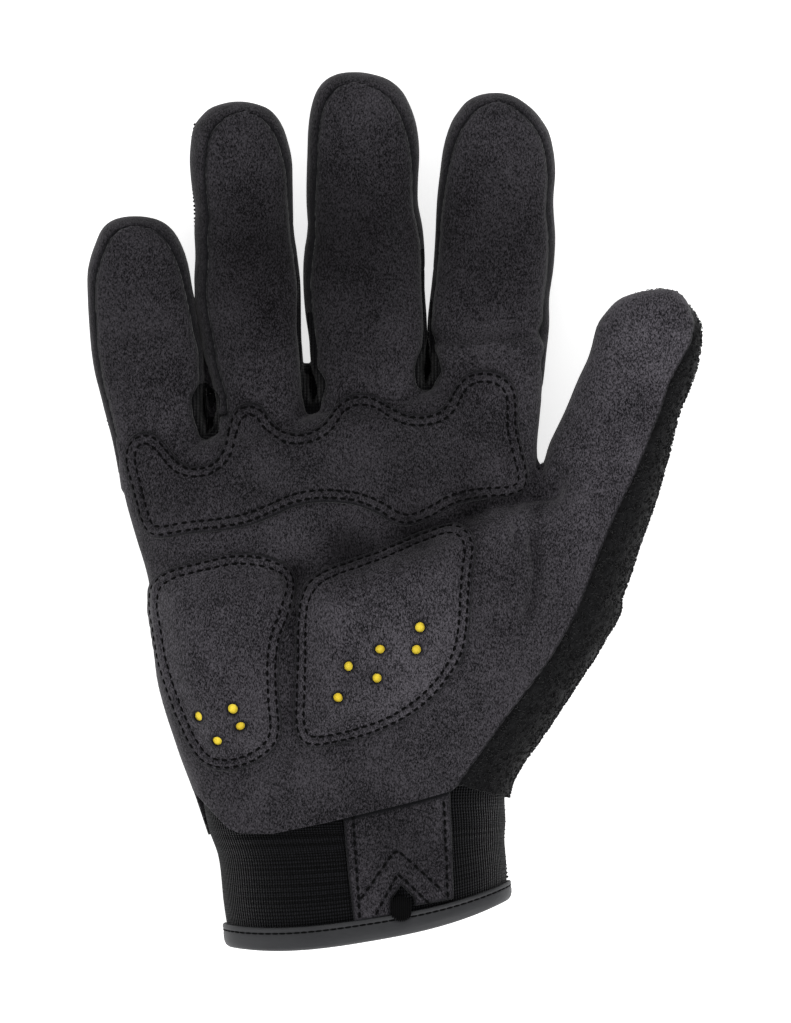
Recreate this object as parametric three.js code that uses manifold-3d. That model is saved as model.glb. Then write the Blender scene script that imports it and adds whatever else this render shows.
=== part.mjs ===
// An impact glove for a right hand, lying on its back with the palm up.
// Millimetres: X to the thumb side, Y to the fingertips, Z up out of the palm.
// Shapes are worked out from the middle of the wrist seam. At the end the glove is moved so
// that the middle of its box, on the surface that it lies on, is the origin.

import * as THREE from 'three';
import { mergeVertices } from 'three/addons/utils/BufferGeometryUtils.js';
import Module from 'manifold-3d';

const wasm = await Module();
wasm.setup();

// Layers
const seamGap = 0.3; // between two pieces that are sewn together or lie on each other
const wall = 1.8; // suede of the palm, knit of the back and terry of the thumb
const knitWall = 1.8; // cuff
const bindingWall = 1.2;
const tabThickness = 1.2;
const tackThickness = 1;
const overlayThickness = 1.8; // upper palm pad, suede on suede
const padThickness = 3.4; // heel and thumb pads, from the palm to the crown
const padCoverWall = 1.2; // suede over the foam
const guardThickness = 4; // rubber on the back, over the bones
const guardBase = 2; // rubber between the raised blocks
const guardFlat = 1; // taken off the undersides of the blocks, so that the glove lies on flats

// Palm, from the wrist seam to the webs
const palmLength = 108.4;
const wristWidth = 90;
const palmRise = 23; // palm above the side seam
const backDrop = 11.2; // back below the side seam
const hemDepth = 11; // how far the palm panel hangs over the cuff
const webTilt = THREE.MathUtils.degToRad(11.7); // the webs step down to the little finger
const webRound = 9;
const fingerGap = 0.5;
const stripHeight = 12; // height of the strips in the fingers' sides
const fingerCurl = 7; // rise of the longest fingertip off the surface
const fingerStem = 14; // how deep a finger's form runs into the palm

// Width and heights at the web, length from the web to the tip, and the lean from straight
// ahead in degrees, positive to the little finger's side
const fingers = [
  { name: 'little', width: 29.8, rise: 10.5, drop: 10, length: 65.5, lean: 6, bow: -0.3 },
  { name: 'ring', width: 29.2, rise: 11, drop: 10.5, length: 92, lean: 3.7, bow: -1 },
  { name: 'middle', width: 33, rise: 11.5, drop: 11, length: 93.5, lean: 1.2, bow: 0 },
  { name: 'index', width: 32.7, rise: 11.5, drop: 11, length: 81, lean: -3.2, bow: 1.6 },
];

// Thumb, from its root in the palm
const thumbLength = 92.8;
const thumbWidth = 35;
const thumbRise = 17;
const thumbDrop = 11.2;
const thumbLean = THREE.MathUtils.degToRad(18.5);
const thumbLift = 8.5; // rise of the thumb's tip off the surface
const thumbStem = 15;

// Cuff, from the wrist seam to its bound edge
const cuffWidth = 83;
const cuffLength = 34.5;
const cuffRise = 19;
const cuffDrop = 17.5;
const cuffBow = 4.4; // how far the bound edge curves out in its middle
const bindingWidth = 6;

// Yellow dots in the two lower pads
const dotDiameter = 2.6;
const padFlange = 3.4; // sewn edge round the crown of a lower pad

// Worked out from these sizes
const fingerWidths = fingers.reduce((sum, finger) => sum + finger.width, 0);
const palmWidth = fingerWidths + (fingers.length - 1) * fingerGap;
const seamHeight = backDrop + guardThickness + seamGap;
const longestFinger = Math.max(...fingers.map((finger) => finger.length));

// Far enough to pass right through the glove
const beyond = 3 * (palmLength + longestFinger);

// Half rows across the glove. Along is a share of the palm's length, left and right are shares of
// the width in question, rise and drop are shares of the palm's rise and the back's drop.
const wristRows = [
  { left: -0.492, leftAlong: -0.1135, right: 0.51, rightAlong: -0.0775, rise: 0.86, drop: 1.25 },
  { left: -0.501, leftAlong: -0.008, right: 0.517, rightAlong: 0.023, rise: 0.86, drop: 1.2 },
];
const palmRows = [
  { left: -0.386, leftAlong: 0.105, right: 0.437, rightAlong: 0.158, rise: 0.92, drop: 1.05 },
  { left: -0.431, leftAlong: 0.262, right: 0.502, rightAlong: 0.272, rise: 1, drop: 1 },
  { left: -0.458, leftAlong: 0.394, right: 0.583, rightAlong: 0.387, rise: 1, drop: 1 },
  { left: -0.473, leftAlong: 0.552, right: 0.617, rightAlong: 0.517, rise: 0.97, drop: 1 },
  { left: -0.497, leftAlong: 0.664, right: 0.486, rightAlong: 0.715, rise: 0.87, drop: 1 },
  { left: -0.517, leftAlong: 0.733, right: 0.424, rightAlong: 0.844, rise: 0.76, drop: 1 },
];
const rootRise = 0.62; // palm's rise where the webs start to round, as a share
const rowShift = -0.065; // middle of the finger row, as a share of the palm's width

// Rows of the cuff: shares of the cuff's width and length, and of its bow
const cuffRows = [
  { left: -0.484, leftAlong: -0.58, right: 0.522, rightAlong: -0.415, bow: 0.3 },
  { left: -0.455, leftAlong: -0.95, right: 0.53, rightAlong: -0.65, bow: 0.8 },
  { left: -0.419, leftAlong: -1.262, right: 0.536, rightAlong: -0.879, bow: 1 },
];

// Width of a finger and of the thumb along their length, up to where the tip starts to round
const fingerProfile = [
  { along: 0, width: 1 },
  { along: 0.45, width: 1.025 },
  { along: 1, width: 0.975 },
];
const thumbProfile = [
  { along: 0, width: 1, rise: 1 },
  { along: 0.44, width: 1, rise: 0.86 },
  { along: 0.68, width: 0.885, rise: 0.7 },
  { along: 1, width: 0.835, rise: 0.62 },
];

// Folds and mounds of the palm. Places are shares of the palm's width and length, reach and
// height are shares of the palm's rise, and a fold has two ends.
const folds = [
  { x0: 0.43, y0: 0.74, x1: 0.12, y1: 0.63, reach: 0.2, height: -0.12 },
  { x0: 0.12, y0: 0.63, x1: -0.12, y1: 0.48, reach: 0.24, height: -0.12 },
  { x0: -0.12, y0: 0.55, x1: -0.13, y1: 0.05, reach: 0.26, height: -0.13 },
  { x0: 0.33, y0: 0.68, x1: 0.36, y1: 0.46, reach: 0.2, height: -0.07 },
  { x0: -0.45, y0: 0.63, x1: -0.1, y1: 0.66, reach: 0.2, height: -0.07 },
];
const mounds = [
  { x: 0.22, y: 0.36, reach: 1.1, height: 0.12 },
  { x: -0.3, y: 0.32, reach: 1, height: 0.08 },
];

// Outlines of the pads, their outer edge, as shares of the palm's width and length
const heelPadOutline = [
  [-0.456, 0.53], [-0.393, 0.583], [-0.244, 0.618], [-0.153, 0.593], [-0.127, 0.523],
  [-0.156, 0.418], [-0.166, 0.223], [-0.165, 0.13], [-0.233, 0.066], [-0.318, 0.06],
  [-0.378, 0.152], [-0.43, 0.29], [-0.456, 0.412],
];
const thumbPadOutline = [
  [-0.11, 0.51], [-0.06, 0.577], [0.033, 0.615], [0.139, 0.668], [0.24, 0.695],
  [0.279, 0.641], [0.267, 0.523], [0.258, 0.39], [0.207, 0.273], [0.11, 0.181],
  [-0.021, 0.13], [-0.112, 0.128], [-0.129, 0.226], [-0.122, 0.399],
];
const heelDots = [[-0.344, 0.195], [-0.269, 0.216], [-0.253, 0.168], [-0.303, 0.129]];
const thumbDots = [
  [-0.027, 0.25], [-0.003, 0.326], [0.061, 0.3], [0.07, 0.371], [0.149, 0.371], [0.156, 0.428],
];
// The upper pad's lower edge, from the index side to the little finger's side
const upperPadSides = [
  [0.37, 1.02], [0.395, 0.85], [0.368, 0.775], [0.297, 0.77], [0.187, 0.725], [0.104, 0.7],
  [0.027, 0.745], [-0.077, 0.76], [-0.17, 0.722], [-0.285, 0.687], [-0.418, 0.664],
  [-0.475, 0.692], [-0.505, 0.8], [-0.512, 0.9],
];
const lobeReach = 0.14; // half of a lobe's flat top, as a share of the finger's width
const lobeLead = 3; // how far a lobe runs past the web line
const dipBack = 8; // how far a dip stays behind its web
const dipReach = 0.13; // half of a dip's flat bottom, as a share of the finger's width
const dipShift = -0.08; // a dip's place beside its web, as a share of the finger's width

// The palm panel's edge over the cuff: shares of the wrist's width and of the hem's depth
const hemLine = [[-0.501, -0.13], [-0.361, -1], [-0.162, -1], [0.319, -0.18], [0.493, 0.46]];

// Seam of the terry on the palm side. On the thumb: shares of its length and half width.
// Below it: row of the palm and how far in from the edge, as a share of the palm's width.
const terrySeamOnThumb = [
  { along: 0.94, side: 1.06 },
  { along: 0.87, side: 0.92 },
  { along: 0.73, side: 0.71 },
  { along: 0.435, side: 0.55 },
  { along: 0.18, side: 0.37 },
];
const terrySeamOnPalm = [
  { row: 4.6, inset: 0.107 },
  { row: 3, inset: 0.1 },
  { row: 2, inset: 0.112 },
  { row: 1, inset: 0.12 },
  { row: 0, inset: 0.118 },
];
// Seam of the terry on the back, as shares of the palm's width and length
const terrySeamOnBack = [[0.424, 0.844], [0.336, 0.604], [0.269, 0.289], [0.223, -0.018], [0.2, -0.3]];

// The tab on the cuff, its notch and the tack over that: shares of the cuff's width and length.
// The tab's sides are given past both of its ends.
const tabSides = [
  { along: 0, left: -0.024, right: 0.34 },
  { along: -2, left: 0.013, right: 0.346 },
];
const notch = { x: 0.18, top: -0.78, bottom: -0.914, width: 0.079 };
const tack = { x: 0.175, top: -0.93, bottom: -1.13, width: 0.072 };

// Rubber blocks of the knuckle guard and the finger guards: shares of the finger's width,
// and of the palm's or the finger's length
const knuckleBlock = { width: 0.7, front: -0.03, back: -0.26, corner: 0.2 };
const knucklePlate = { margin: 0.17, corner: 0.06 };
const guardBlocks = [
  { start: 0.14, end: 0.32, width: 0.6, corner: 0.13 },
  { start: 0.36, end: 0.55, width: 0.56, corner: 0.12 },
  { start: 0.59, end: 0.78, width: 0.5, corner: 0.11 },
];
const guardBaseCorner = 0.2;
const guardMargin = 1.6; // rubber base shown round the blocks

// How finely the round forms are divided
const palmTopSteps = 12;
const palmBackSteps = 6;
const palmStep = 0.8; // between rings, in rows of the palm
const leastStep = 0.2; // between rings of the cuff, in its rows
const tubeSides = 10;
const tipAngles = [35, 65].map(THREE.MathUtils.degToRad);
const padSteps = 14;
const upperPadSteps = 32;
const terrySteps = 10;
const terryBackSteps = 6;
const dotSides = 8;
const sideCrowding = 1.3; // more than 1 gathers a ring's points at the sides

// Plan directions of the finger row
const rowAlong = new THREE.Vector2(Math.cos(webTilt), Math.sin(webTilt));
const rowForward = new THREE.Vector2(-Math.sin(webTilt), Math.cos(webTilt));
const rowCentre = new THREE.Vector2(rowShift * palmWidth, palmLength);

function planPoint(origin, sideways, side, ahead, distance) {
  return origin.clone().addScaledVector(sideways, side).addScaledVector(ahead, distance);
}

function rowPoint(side, distance) {
  return planPoint(rowCentre, rowAlong, side, rowForward, distance);
}

function palmPoint([x, y]) {
  return new THREE.Vector2(x * palmWidth, y * palmLength);
}

function cuffPoint(x, y) {
  return new THREE.Vector2(x * cuffWidth, y * cuffLength);
}

function smooth(value) {
  const share = THREE.MathUtils.clamp(value, 0, 1);
  return share * share * (3 - 2 * share);
}

// Height of the fingers' middle plane above the side seam, at a distance past the web line
function curlAt(distance) {
  return fingerCurl * (Math.max(distance, 0) / longestFinger) ** 2;
}

// Height of the thumb's middle plane above the side seam: it leaves the palm at the crotch
const crotch = palmPoint(terrySeamOnBack[0]);
const thumbRoot = palmPoint([0.4715, 0.503]);
const thumbAhead = new THREE.Vector2(Math.sin(thumbLean), Math.cos(thumbLean));
const thumbAcross = new THREE.Vector2(Math.cos(thumbLean), -Math.sin(thumbLean));
const thumbTip = planPoint(thumbRoot, thumbAcross, 0, thumbAhead, thumbLength);

function thumbLiftAt(y) {
  return thumbLift * Math.max((y - crotch.y) / (thumbTip.y - crotch.y), 0);
}

// Folds and mounds added to the height of the palm at a place
function relief(x, y) {
  let height = 0;
  for (const fold of folds) {
    const start = palmPoint([fold.x0, fold.y0]);
    const run = palmPoint([fold.x1, fold.y1]).sub(start);
    const offset = new THREE.Vector2(x, y).sub(start);
    const share = THREE.MathUtils.clamp(offset.dot(run) / run.lengthSq(), 0, 1);
    const distance = offset.addScaledVector(run, -share).length();
    height += fold.height * palmRise * Math.exp(-((distance / (fold.reach * palmRise)) ** 2));
  }
  for (const mound of mounds) {
    const distance = palmPoint([mound.x, mound.y]).distanceTo(new THREE.Vector2(x, y));
    height += mound.height * palmRise * Math.exp(-((distance / (mound.reach * palmRise)) ** 2));
  }
  return height;
}

// Solids

function toSolid(geometry) {
  const bare = geometry.clone();
  bare.deleteAttribute('normal');
  bare.deleteAttribute('uv');
  const merged = mergeVertices(bare, 1e-4);
  const vertProperties = new Float32Array(merged.attributes.position.array);
  const triVerts = new Uint32Array(merged.index.array);
  return new wasm.Manifold(new wasm.Mesh({ numProp: 3, vertProperties, triVerts }));
}

function toGeometry(solid) {
  const mesh = solid.getMesh();
  const geometry = new THREE.BufferGeometry();
  geometry.setAttribute('position', new THREE.BufferAttribute(mesh.vertProperties, mesh.numProp));
  geometry.setIndex(new THREE.BufferAttribute(mesh.triVerts, 1));
  const faceted = geometry.toNonIndexed();
  faceted.computeVertexNormals();
  return faceted;
}

// A closed skin over rings that all have the same number of points, with a fan on each end
function loft(rings, startPoint, endPoint) {
  const count = rings[0].length;
  const points = [...rings.flat(), startPoint, endPoint];
  const faces = [];
  for (let ring = 0; ring + 1 < rings.length; ring += 1) {
    for (let k = 0; k < count; k += 1) {
      const a = ring * count + k;
      const b = ring * count + ((k + 1) % count);
      faces.push(a, b, a + count, b, b + count, a + count);
    }
  }
  const last = (rings.length - 1) * count;
  const startIndex = rings.length * count;
  for (let k = 0; k < count; k += 1) {
    const next = (k + 1) % count;
    faces.push(startIndex, next, k, startIndex + 1, last + k, last + next);
  }
  const geometry = new THREE.BufferGeometry().setFromPoints(points);
  geometry.setIndex(faces);
  const solid = toSolid(geometry);
  if (solid.volume() > 0) return solid;
  geometry.setIndex(faces.slice().reverse());
  return toSolid(geometry);
}

function ringCentre(ring) {
  const sum = ring.reduce((total, point) => total.add(point), new THREE.Vector3());
  return sum.divideScalar(ring.length);
}

// An outline in plan, carried up from one height to another
function prism(outline, low = -beyond, high = beyond) {
  const shape = new THREE.Shape(outline);
  const geometry = new THREE.ExtrudeGeometry(shape, { depth: high - low, bevelEnabled: false });
  return toSolid(geometry.translate(0, 0, low));
}

// A profile of distance and height, carried sideways through the whole glove
function slab(profile, origin, ahead, sideways) {
  const shape = new THREE.Shape(profile);
  const geometry = new THREE.ExtrudeGeometry(shape, { depth: 2 * beyond, bevelEnabled: false });
  const place = new THREE.Matrix4().makeBasis(
    new THREE.Vector3(ahead.x, ahead.y, 0),
    new THREE.Vector3(0, 0, 1),
    new THREE.Vector3(sideways.x, sideways.y, 0),
  );
  geometry.translate(0, 0, -beyond).applyMatrix4(place).translate(origin.x, origin.y, 0);
  return toSolid(geometry);
}

// Everything between two heights
function layer(low, high) {
  return prism(circle(new THREE.Vector2(), beyond, 4), low, high);
}

function join(solids) {
  return solids.reduce((whole, solid) => whole.add(solid));
}

// The outline moved sideways by a distance, to the left of its run
function offsetLine(line, distance) {
  return line.map((point, k) => {
    const before = line[Math.max(k - 1, 0)];
    const after = line[Math.min(k + 1, line.length - 1)];
    const run = after.clone().sub(before).normalize();
    return new THREE.Vector2(point.x - run.y * distance, point.y + run.x * distance);
  });
}

function closedCurve(points, steps) {
  const curve = new THREE.SplineCurve([...points, points[0], points[1], points[2]]);
  const spans = points.length + 2;
  const from = 1 / spans;
  const share = points.length / spans;
  return Array.from({ length: steps }, (_, k) => curve.getPoint(from + (share * k) / steps));
}

function circle(centre, radius, sides) {
  return Array.from({ length: sides }, (_, k) => {
    const angle = (2 * Math.PI * k) / sides;
    return new THREE.Vector2(
      centre.x + radius * Math.cos(angle),
      centre.y + radius * Math.sin(angle),
    );
  });
}

function distanceToOutline(point, outline) {
  const distances = outline.map((start, k) => {
    const run = outline[(k + 1) % outline.length].clone().sub(start);
    const offset = point.clone().sub(start);
    const share = THREE.MathUtils.clamp(offset.dot(run) / run.lengthSq(), 0, 1);
    return offset.addScaledVector(run, -share).length();
  });
  return Math.min(...distances);
}

// A closed outline moved inwards. Points that cross over at a tight corner come nearer to the
// outline than the distance, and are left out.
const nearly = 0.93;

function shrinkClosed(outline, distance) {
  const count = outline.length;
  const inward = THREE.ShapeUtils.area(outline) > 0 ? 1 : -1;
  const moved = outline.map((point, k) => {
    const run = outline[(k + 1) % count].clone().sub(outline[(k + count - 1) % count]).normalize();
    return new THREE.Vector2(
      point.x - inward * run.y * distance,
      point.y + inward * run.x * distance,
    );
  });
  return moved.filter((point) => distanceToOutline(point, outline) > distance * nearly);
}

// Forms that the glove takes, each one grown by a distance so that layers lie on each other

// Powers of the curves across: 2 is an ellipse, and more is squarer
const palmRoundness = 2.6;
const backRoundness = 4;
const fingerRoundness = 2.3;

function roundness(side, power) {
  return Math.max(1 - Math.abs(side) ** power, 0) ** (1 / power);
}

// Value of a column between the rows, on a smooth curve through them
function between(rows, column, place) {
  const k = THREE.MathUtils.clamp(Math.floor(place), 0, rows.length - 2);
  const t = place - k;
  const value = (row) => rows[THREE.MathUtils.clamp(row, 0, rows.length - 1)][column];
  const [p0, p1, p2, p3] = [value(k - 1), value(k), value(k + 1), value(k + 2)];
  const slope1 = (p2 - p0) / 2;
  const slope2 = (p3 - p1) / 2;
  const rest = 1 - t;
  return p1 * (1 + 2 * t) * rest * rest + slope1 * t * rest * rest
    + p2 * t * t * (3 - 2 * t) - slope2 * t * t * rest;
}

// Rows of the palm in real sizes, the last one where the webs start to round
const rootLeft = rowPoint(-palmWidth / 2, -webRound);
const rootRight = rowPoint(palmWidth / 2, -webRound);
const handRows = [
  ...wristRows.map((row) => ({ ...row, width: wristWidth })),
  ...palmRows.map((row) => ({ ...row, width: palmWidth })),
].map((row) => ({
  leftX: row.left * row.width,
  leftY: row.leftAlong * palmLength,
  rightX: row.right * row.width,
  rightY: row.rightAlong * palmLength,
  rise: row.rise * palmRise,
  drop: row.drop * backDrop,
  bow: 0,
}));
handRows.push({
  leftX: rootLeft.x,
  leftY: rootLeft.y,
  rightX: rootRight.x,
  rightY: rootRight.y,
  rise: rootRise * palmRise,
  drop: backDrop,
  bow: 0,
});

function rowAt(rows, place) {
  const row = {};
  for (const column of ['leftX', 'leftY', 'rightX', 'rightY', 'rise', 'drop', 'bow']) {
    row[column] = between(rows, column, place);
  }
  return row;
}

// A ring across the palm or the cuff, grown by a distance, no lower than the floor given
function crossRing(row, grow, squeeze = 1, ahead = 0, floor = -beyond) {
  const left = new THREE.Vector2(row.leftX, row.leftY);
  const right = new THREE.Vector2(row.rightX, row.rightY);
  const run = right.clone().sub(left).normalize();
  const forward = new THREE.Vector2(-run.y, run.x);
  left.addScaledVector(run, -grow).addScaledVector(forward, ahead);
  right.addScaledVector(run, grow).addScaledVector(forward, ahead);
  const ring = [];
  for (let k = 0; k < palmTopSteps + palmBackSteps; k += 1) {
    const onTop = k <= palmTopSteps;
    const even = onTop ? -1 + (2 * k) / palmTopSteps : 1 - (2 * (k - palmTopSteps)) / palmBackSteps;
    const side = Math.sign(even) * (1 - (1 - Math.abs(even)) ** sideCrowding);
    const plan = left.clone().lerp(right, (side + 1) / 2);
    plan.y -= row.bow * (1 - side * side);
    const swell = roundness(side, onTop ? palmRoundness : backRoundness) * squeeze;
    const height = onTop
      ? (row.rise + grow + relief(plan.x, plan.y)) * swell
      : -(row.drop + grow) * swell;
    ring.push(new THREE.Vector3(plan.x, plan.y, Math.max(seamHeight + height, floor)));
  }
  return ring;
}

function palmForm(grow) {
  const rings = [];
  const last = handRows.length - 1;
  for (let place = 0; place < last + palmStep / 2; place += palmStep) {
    rings.push(crossRing(rowAt(handRows, place), grow));
  }
  const root = handRows[last];
  for (const angle of tipAngles) {
    rings.push(crossRing(root, grow, Math.cos(angle), (webRound + grow) * Math.sin(angle)));
  }
  const tip = rowPoint(0, grow);
  const front = new THREE.Vector3(tip.x, tip.y, seamHeight);
  return loft(rings, ringCentre(rings[0]), front);
}

// A ring across a finger or the thumb
function tubeRing(centre, across, height, halfWidth, rise, drop) {
  return Array.from({ length: tubeSides }, (_, k) => {
    const angle = (2 * Math.PI * k) / tubeSides;
    const side = Math.cos(angle);
    const up = Math.sin(angle);
    const bulge = (Math.abs(side) ** fingerRoundness + Math.abs(up) ** fingerRoundness)
      ** (-1 / fingerRoundness);
    const plan = centre.clone().addScaledVector(across, side * bulge * halfWidth);
    return new THREE.Vector3(plan.x, plan.y, height + up * bulge * (up > 0 ? rise : drop));
  });
}

// Sections from a root to a round tip: the stem starts smaller, inside the palm
const stemRise = 0.72;

function tubeForm(shape, grow) {
  const tipRadius = shape.tipWidth / 2;
  const straight = shape.length - tipRadius;
  const rings = [];
  const section = (distance, widthShare, riseShare, squeeze) => {
    const share = THREE.MathUtils.clamp(distance / shape.length, 0, 1);
    const bow = 4 * shape.bow * share * (1 - share);
    const centre = planPoint(shape.root, shape.across, bow, shape.ahead, distance);
    rings.push(tubeRing(
      centre,
      shape.across,
      shape.heightAt(centre),
      ((shape.width * widthShare) / 2 + grow) * squeeze,
      (shape.rise * riseShare + grow) * squeeze,
      (shape.drop * riseShare + grow) * squeeze,
    ));
    return centre;
  };
  section(-shape.stem, shape.stemWidth, stemRise, 1);
  for (const row of shape.profile) section(row.along * straight, row.width, row.rise ?? 1, 1);
  const end = shape.profile.at(-1);
  for (const angle of tipAngles) {
    const distance = straight + (tipRadius + grow) * Math.sin(angle);
    section(distance, end.width, end.rise ?? 1, Math.cos(angle));
  }
  const tip = planPoint(shape.root, shape.across, 0, shape.ahead, shape.length + grow);
  const point = new THREE.Vector3(tip.x, tip.y, shape.heightAt(tip));
  return loft(rings, ringCentre(rings[0]), point);
}

// Places of the fingers, side by side along the web line
let edge = -palmWidth / 2;
for (const finger of fingers) {
  const lean = THREE.MathUtils.degToRad(finger.lean);
  finger.side = edge + finger.width / 2;
  edge += finger.width + fingerGap;
  finger.root = rowPoint(finger.side, 0);
  finger.ahead = new THREE.Vector2(-Math.sin(lean), Math.cos(lean));
  finger.across = new THREE.Vector2(Math.cos(lean), Math.sin(lean));
  finger.stem = fingerStem;
  finger.stemWidth = 0.88;
  finger.profile = fingerProfile;
  finger.tipWidth = finger.width * fingerProfile.at(-1).width;
  finger.heightAt = (place) => seamHeight + curlAt(place.clone().sub(rowCentre).dot(rowForward));
}
const thumb = {
  root: thumbRoot,
  ahead: thumbAhead,
  across: thumbAcross,
  width: thumbWidth,
  tipWidth: thumbWidth * thumbProfile.at(-1).width,
  rise: thumbRise,
  drop: thumbDrop,
  length: thumbLength,
  stem: thumbStem,
  stemWidth: 0.7,
  bow: 0.6,
  profile: thumbProfile,
  heightAt: (place) => seamHeight + thumbLiftAt(place.y),
};

function handForm(grow) {
  return join([palmForm(grow), tubeForm(thumb, grow), ...fingers.map((f) => tubeForm(f, grow))]);
}

// The cuff's rows follow the palm's, a wall and a gap further in, and then its own
const insideWall = wall + seamGap;
const cuffFloor = bindingWall + seamGap;
const wristLinks = [2 * palmStep, palmStep, 0].map((place) => {
  const ring = rowAt(handRows, place);
  return {
    ...ring,
    leftX: ring.leftX + insideWall,
    rightX: ring.rightX - insideWall,
    rise: ring.rise - insideWall,
    drop: ring.drop - insideWall,
  };
});
const cuffStations = [
  ...wristLinks,
  ...cuffRows.map((row) => ({
    leftX: row.left * cuffWidth,
    leftY: row.leftAlong * cuffLength,
    rightX: row.right * cuffWidth,
    rightY: row.rightAlong * cuffLength,
    rise: cuffRise,
    drop: cuffDrop,
    bow: row.bow * cuffBow,
  })),
];
const cuffEnd = cuffStations.length - 1;

// Length of cuff for one row at its end, which turns a distance there into a place
const [lastRow, rowBefore] = [cuffRows.at(-1), cuffRows.at(-2)];
const endRun = cuffPoint(lastRow.left, lastRow.leftAlong)
  .add(cuffPoint(lastRow.right, lastRow.rightAlong))
  .sub(cuffPoint(rowBefore.left, rowBefore.leftAlong))
  .sub(cuffPoint(rowBefore.right, rowBefore.rightAlong))
  .length() / 2;

function cuffRing(place, grow, ahead = 0) {
  return crossRing(rowAt(cuffStations, place), grow, 1, ahead, cuffFloor - grow);
}

// The cuff from a place to its end, or past it, or short of it, grown by a distance. Its rings
// run the same way as the palm's, so that the facets of the two lie parallel.
function cuffForm(grow, start = 0, past = 0) {
  const places = cuffStations.map((_, place) => place)
    .filter((place) => place > start + leastStep && place < cuffEnd);
  const rings = [start, ...places].map((place) => cuffRing(place, grow));
  rings.push(cuffRing(cuffEnd + Math.min(past, 0) / endRun, grow));
  if (past > 0) rings.push(cuffRing(cuffEnd, grow, -past));
  rings.reverse();
  return loft(rings, ringCentre(rings[0]), ringCentre(rings.at(-1)));
}

// A bore right through the cuff, and past both of its ends by the cuff's own length
function cuffBore(grow) {
  const rings = [
    cuffRing(0, grow, cuffLength),
    ...cuffStations.map((_, place) => cuffRing(place, grow)),
    cuffRing(cuffEnd, grow, -cuffLength),
  ].reverse();
  return loft(rings, ringCentre(rings[0]), ringCentre(rings.at(-1)));
}

// Regions in which the panels lie

// Height of the seam over or under a finger's side strip
function seamAt(distance, upward) {
  const open = smooth((distance + webRound) / webRound);
  return seamHeight + curlAt(distance) + (upward * open * stripHeight) / 2;
}

const seamSteps = [-beyond, -webRound, 0, 0.55 * longestFinger, 1.1 * longestFinger];

function everythingOver(line) {
  return [...line, new THREE.Vector2(line.at(-1).x, beyond), new THREE.Vector2(line[0].x, beyond)];
}

function aboveSeam(upward, clear) {
  const line = seamSteps.map((d) => new THREE.Vector2(d, seamAt(d, upward) + clear));
  return slab(everythingOver(line), rowCentre, rowForward, rowAlong);
}

function aboveThumbSeam(clear) {
  const steps = [-beyond, crotch.y, thumbTip.y, thumbTip.y + webRound];
  const line = steps.map((y) => new THREE.Vector2(y, seamHeight + thumbLiftAt(y) + clear));
  return slab(everythingOver(line), new THREE.Vector2(), new THREE.Vector2(0, 1), new THREE.Vector2(1, 0));
}

// Everything on the thumb's side of a line from the wrist through the crotch
const splitLean = (thumbLean - THREE.MathUtils.degToRad(fingers[3].lean)) / 2;
const splitTop = new THREE.Vector2(
  crotch.x + Math.sin(splitLean) * beyond,
  crotch.y + Math.cos(splitLean) * beyond,
);
const farRight = beyond / 2;

function rightOf(line) {
  return prism([
    ...line,
    new THREE.Vector2(farRight, line.at(-1).y),
    new THREE.Vector2(farRight, line[0].y),
  ]);
}

const thumbSide = rightOf([new THREE.Vector2(crotch.x, -beyond), crotch, splitTop]);

function terrySeamPoint(row) {
  const hand = rowAt(handRows, row.row);
  return new THREE.Vector2(hand.rightX - row.inset * palmWidth, hand.rightY);
}

// Half of the thumb's width, and a little more round its tip, so that the seam runs off it there
const seamOverrun = 1.06;

function thumbHalfWidth(along) {
  const tipRadius = thumb.tipWidth / 2;
  const past = (along * thumbLength - thumbLength + tipRadius) / tipRadius;
  const roundTip = tipRadius * seamOverrun * Math.sqrt(1 - THREE.MathUtils.clamp(past, 0, 1) ** 2);
  return roundTip + ((1 - along) * (thumbWidth - thumb.tipWidth)) / 2;
}

function terryFront(clear) {
  const onPalm = terrySeamOnPalm.map(terrySeamPoint).reverse();
  const onThumb = terrySeamOnThumb.map((row) => planPoint(
    thumbRoot,
    thumbAcross,
    row.side * thumbHalfWidth(row.along),
    thumbAhead,
    row.along * thumbLength,
  )).reverse();
  const low = new THREE.Vector2(onPalm[0].x, -beyond);
  const line = new THREE.SplineCurve([...onPalm, ...onThumb]).getPoints(terrySteps);
  return rightOf([low, ...offsetLine(line, clear)]);
}

function terryBack(clear) {
  const seam = terrySeamOnBack.map(palmPoint).reverse();
  const low = new THREE.Vector2(seam[0].x, -beyond);
  const line = new THREE.SplineCurve(seam).getPoints(terryBackSteps);
  return rightOf(offsetLine([low, ...line, splitTop], clear));
}

// The hem: everything ahead of it, on the palm side and on the back
function aheadOfHem(clear) {
  const line = hemLine.map(([x, y]) => new THREE.Vector2(x * wristWidth, y * hemDepth));
  const left = line[0];
  const right = line.at(-1);
  const ends = (points) => offsetLine(
    [new THREE.Vector2(-farRight, left.y), ...points, new THREE.Vector2(farRight, right.y)],
    clear,
  );
  const close = [new THREE.Vector2(farRight, beyond), new THREE.Vector2(-farRight, beyond)];
  const palmSide = prism([...ends(line), ...close], seamHeight, beyond);
  const backSide = prism([...ends([left, right]), ...close], -beyond, seamHeight);
  return palmSide.add(backSide);
}

// The hollow carried out through the wrist
function palmWristBore() {
  const grow = -wall;
  const rings = [
    crossRing(handRows[0], grow, 1, -hemDepth),
    crossRing(handRows[0], grow),
    crossRing(rowAt(handRows, 0.5), grow),
  ];
  return loft(rings, ringCentre(rings[0]), ringCentre(rings[2]));
}

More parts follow.
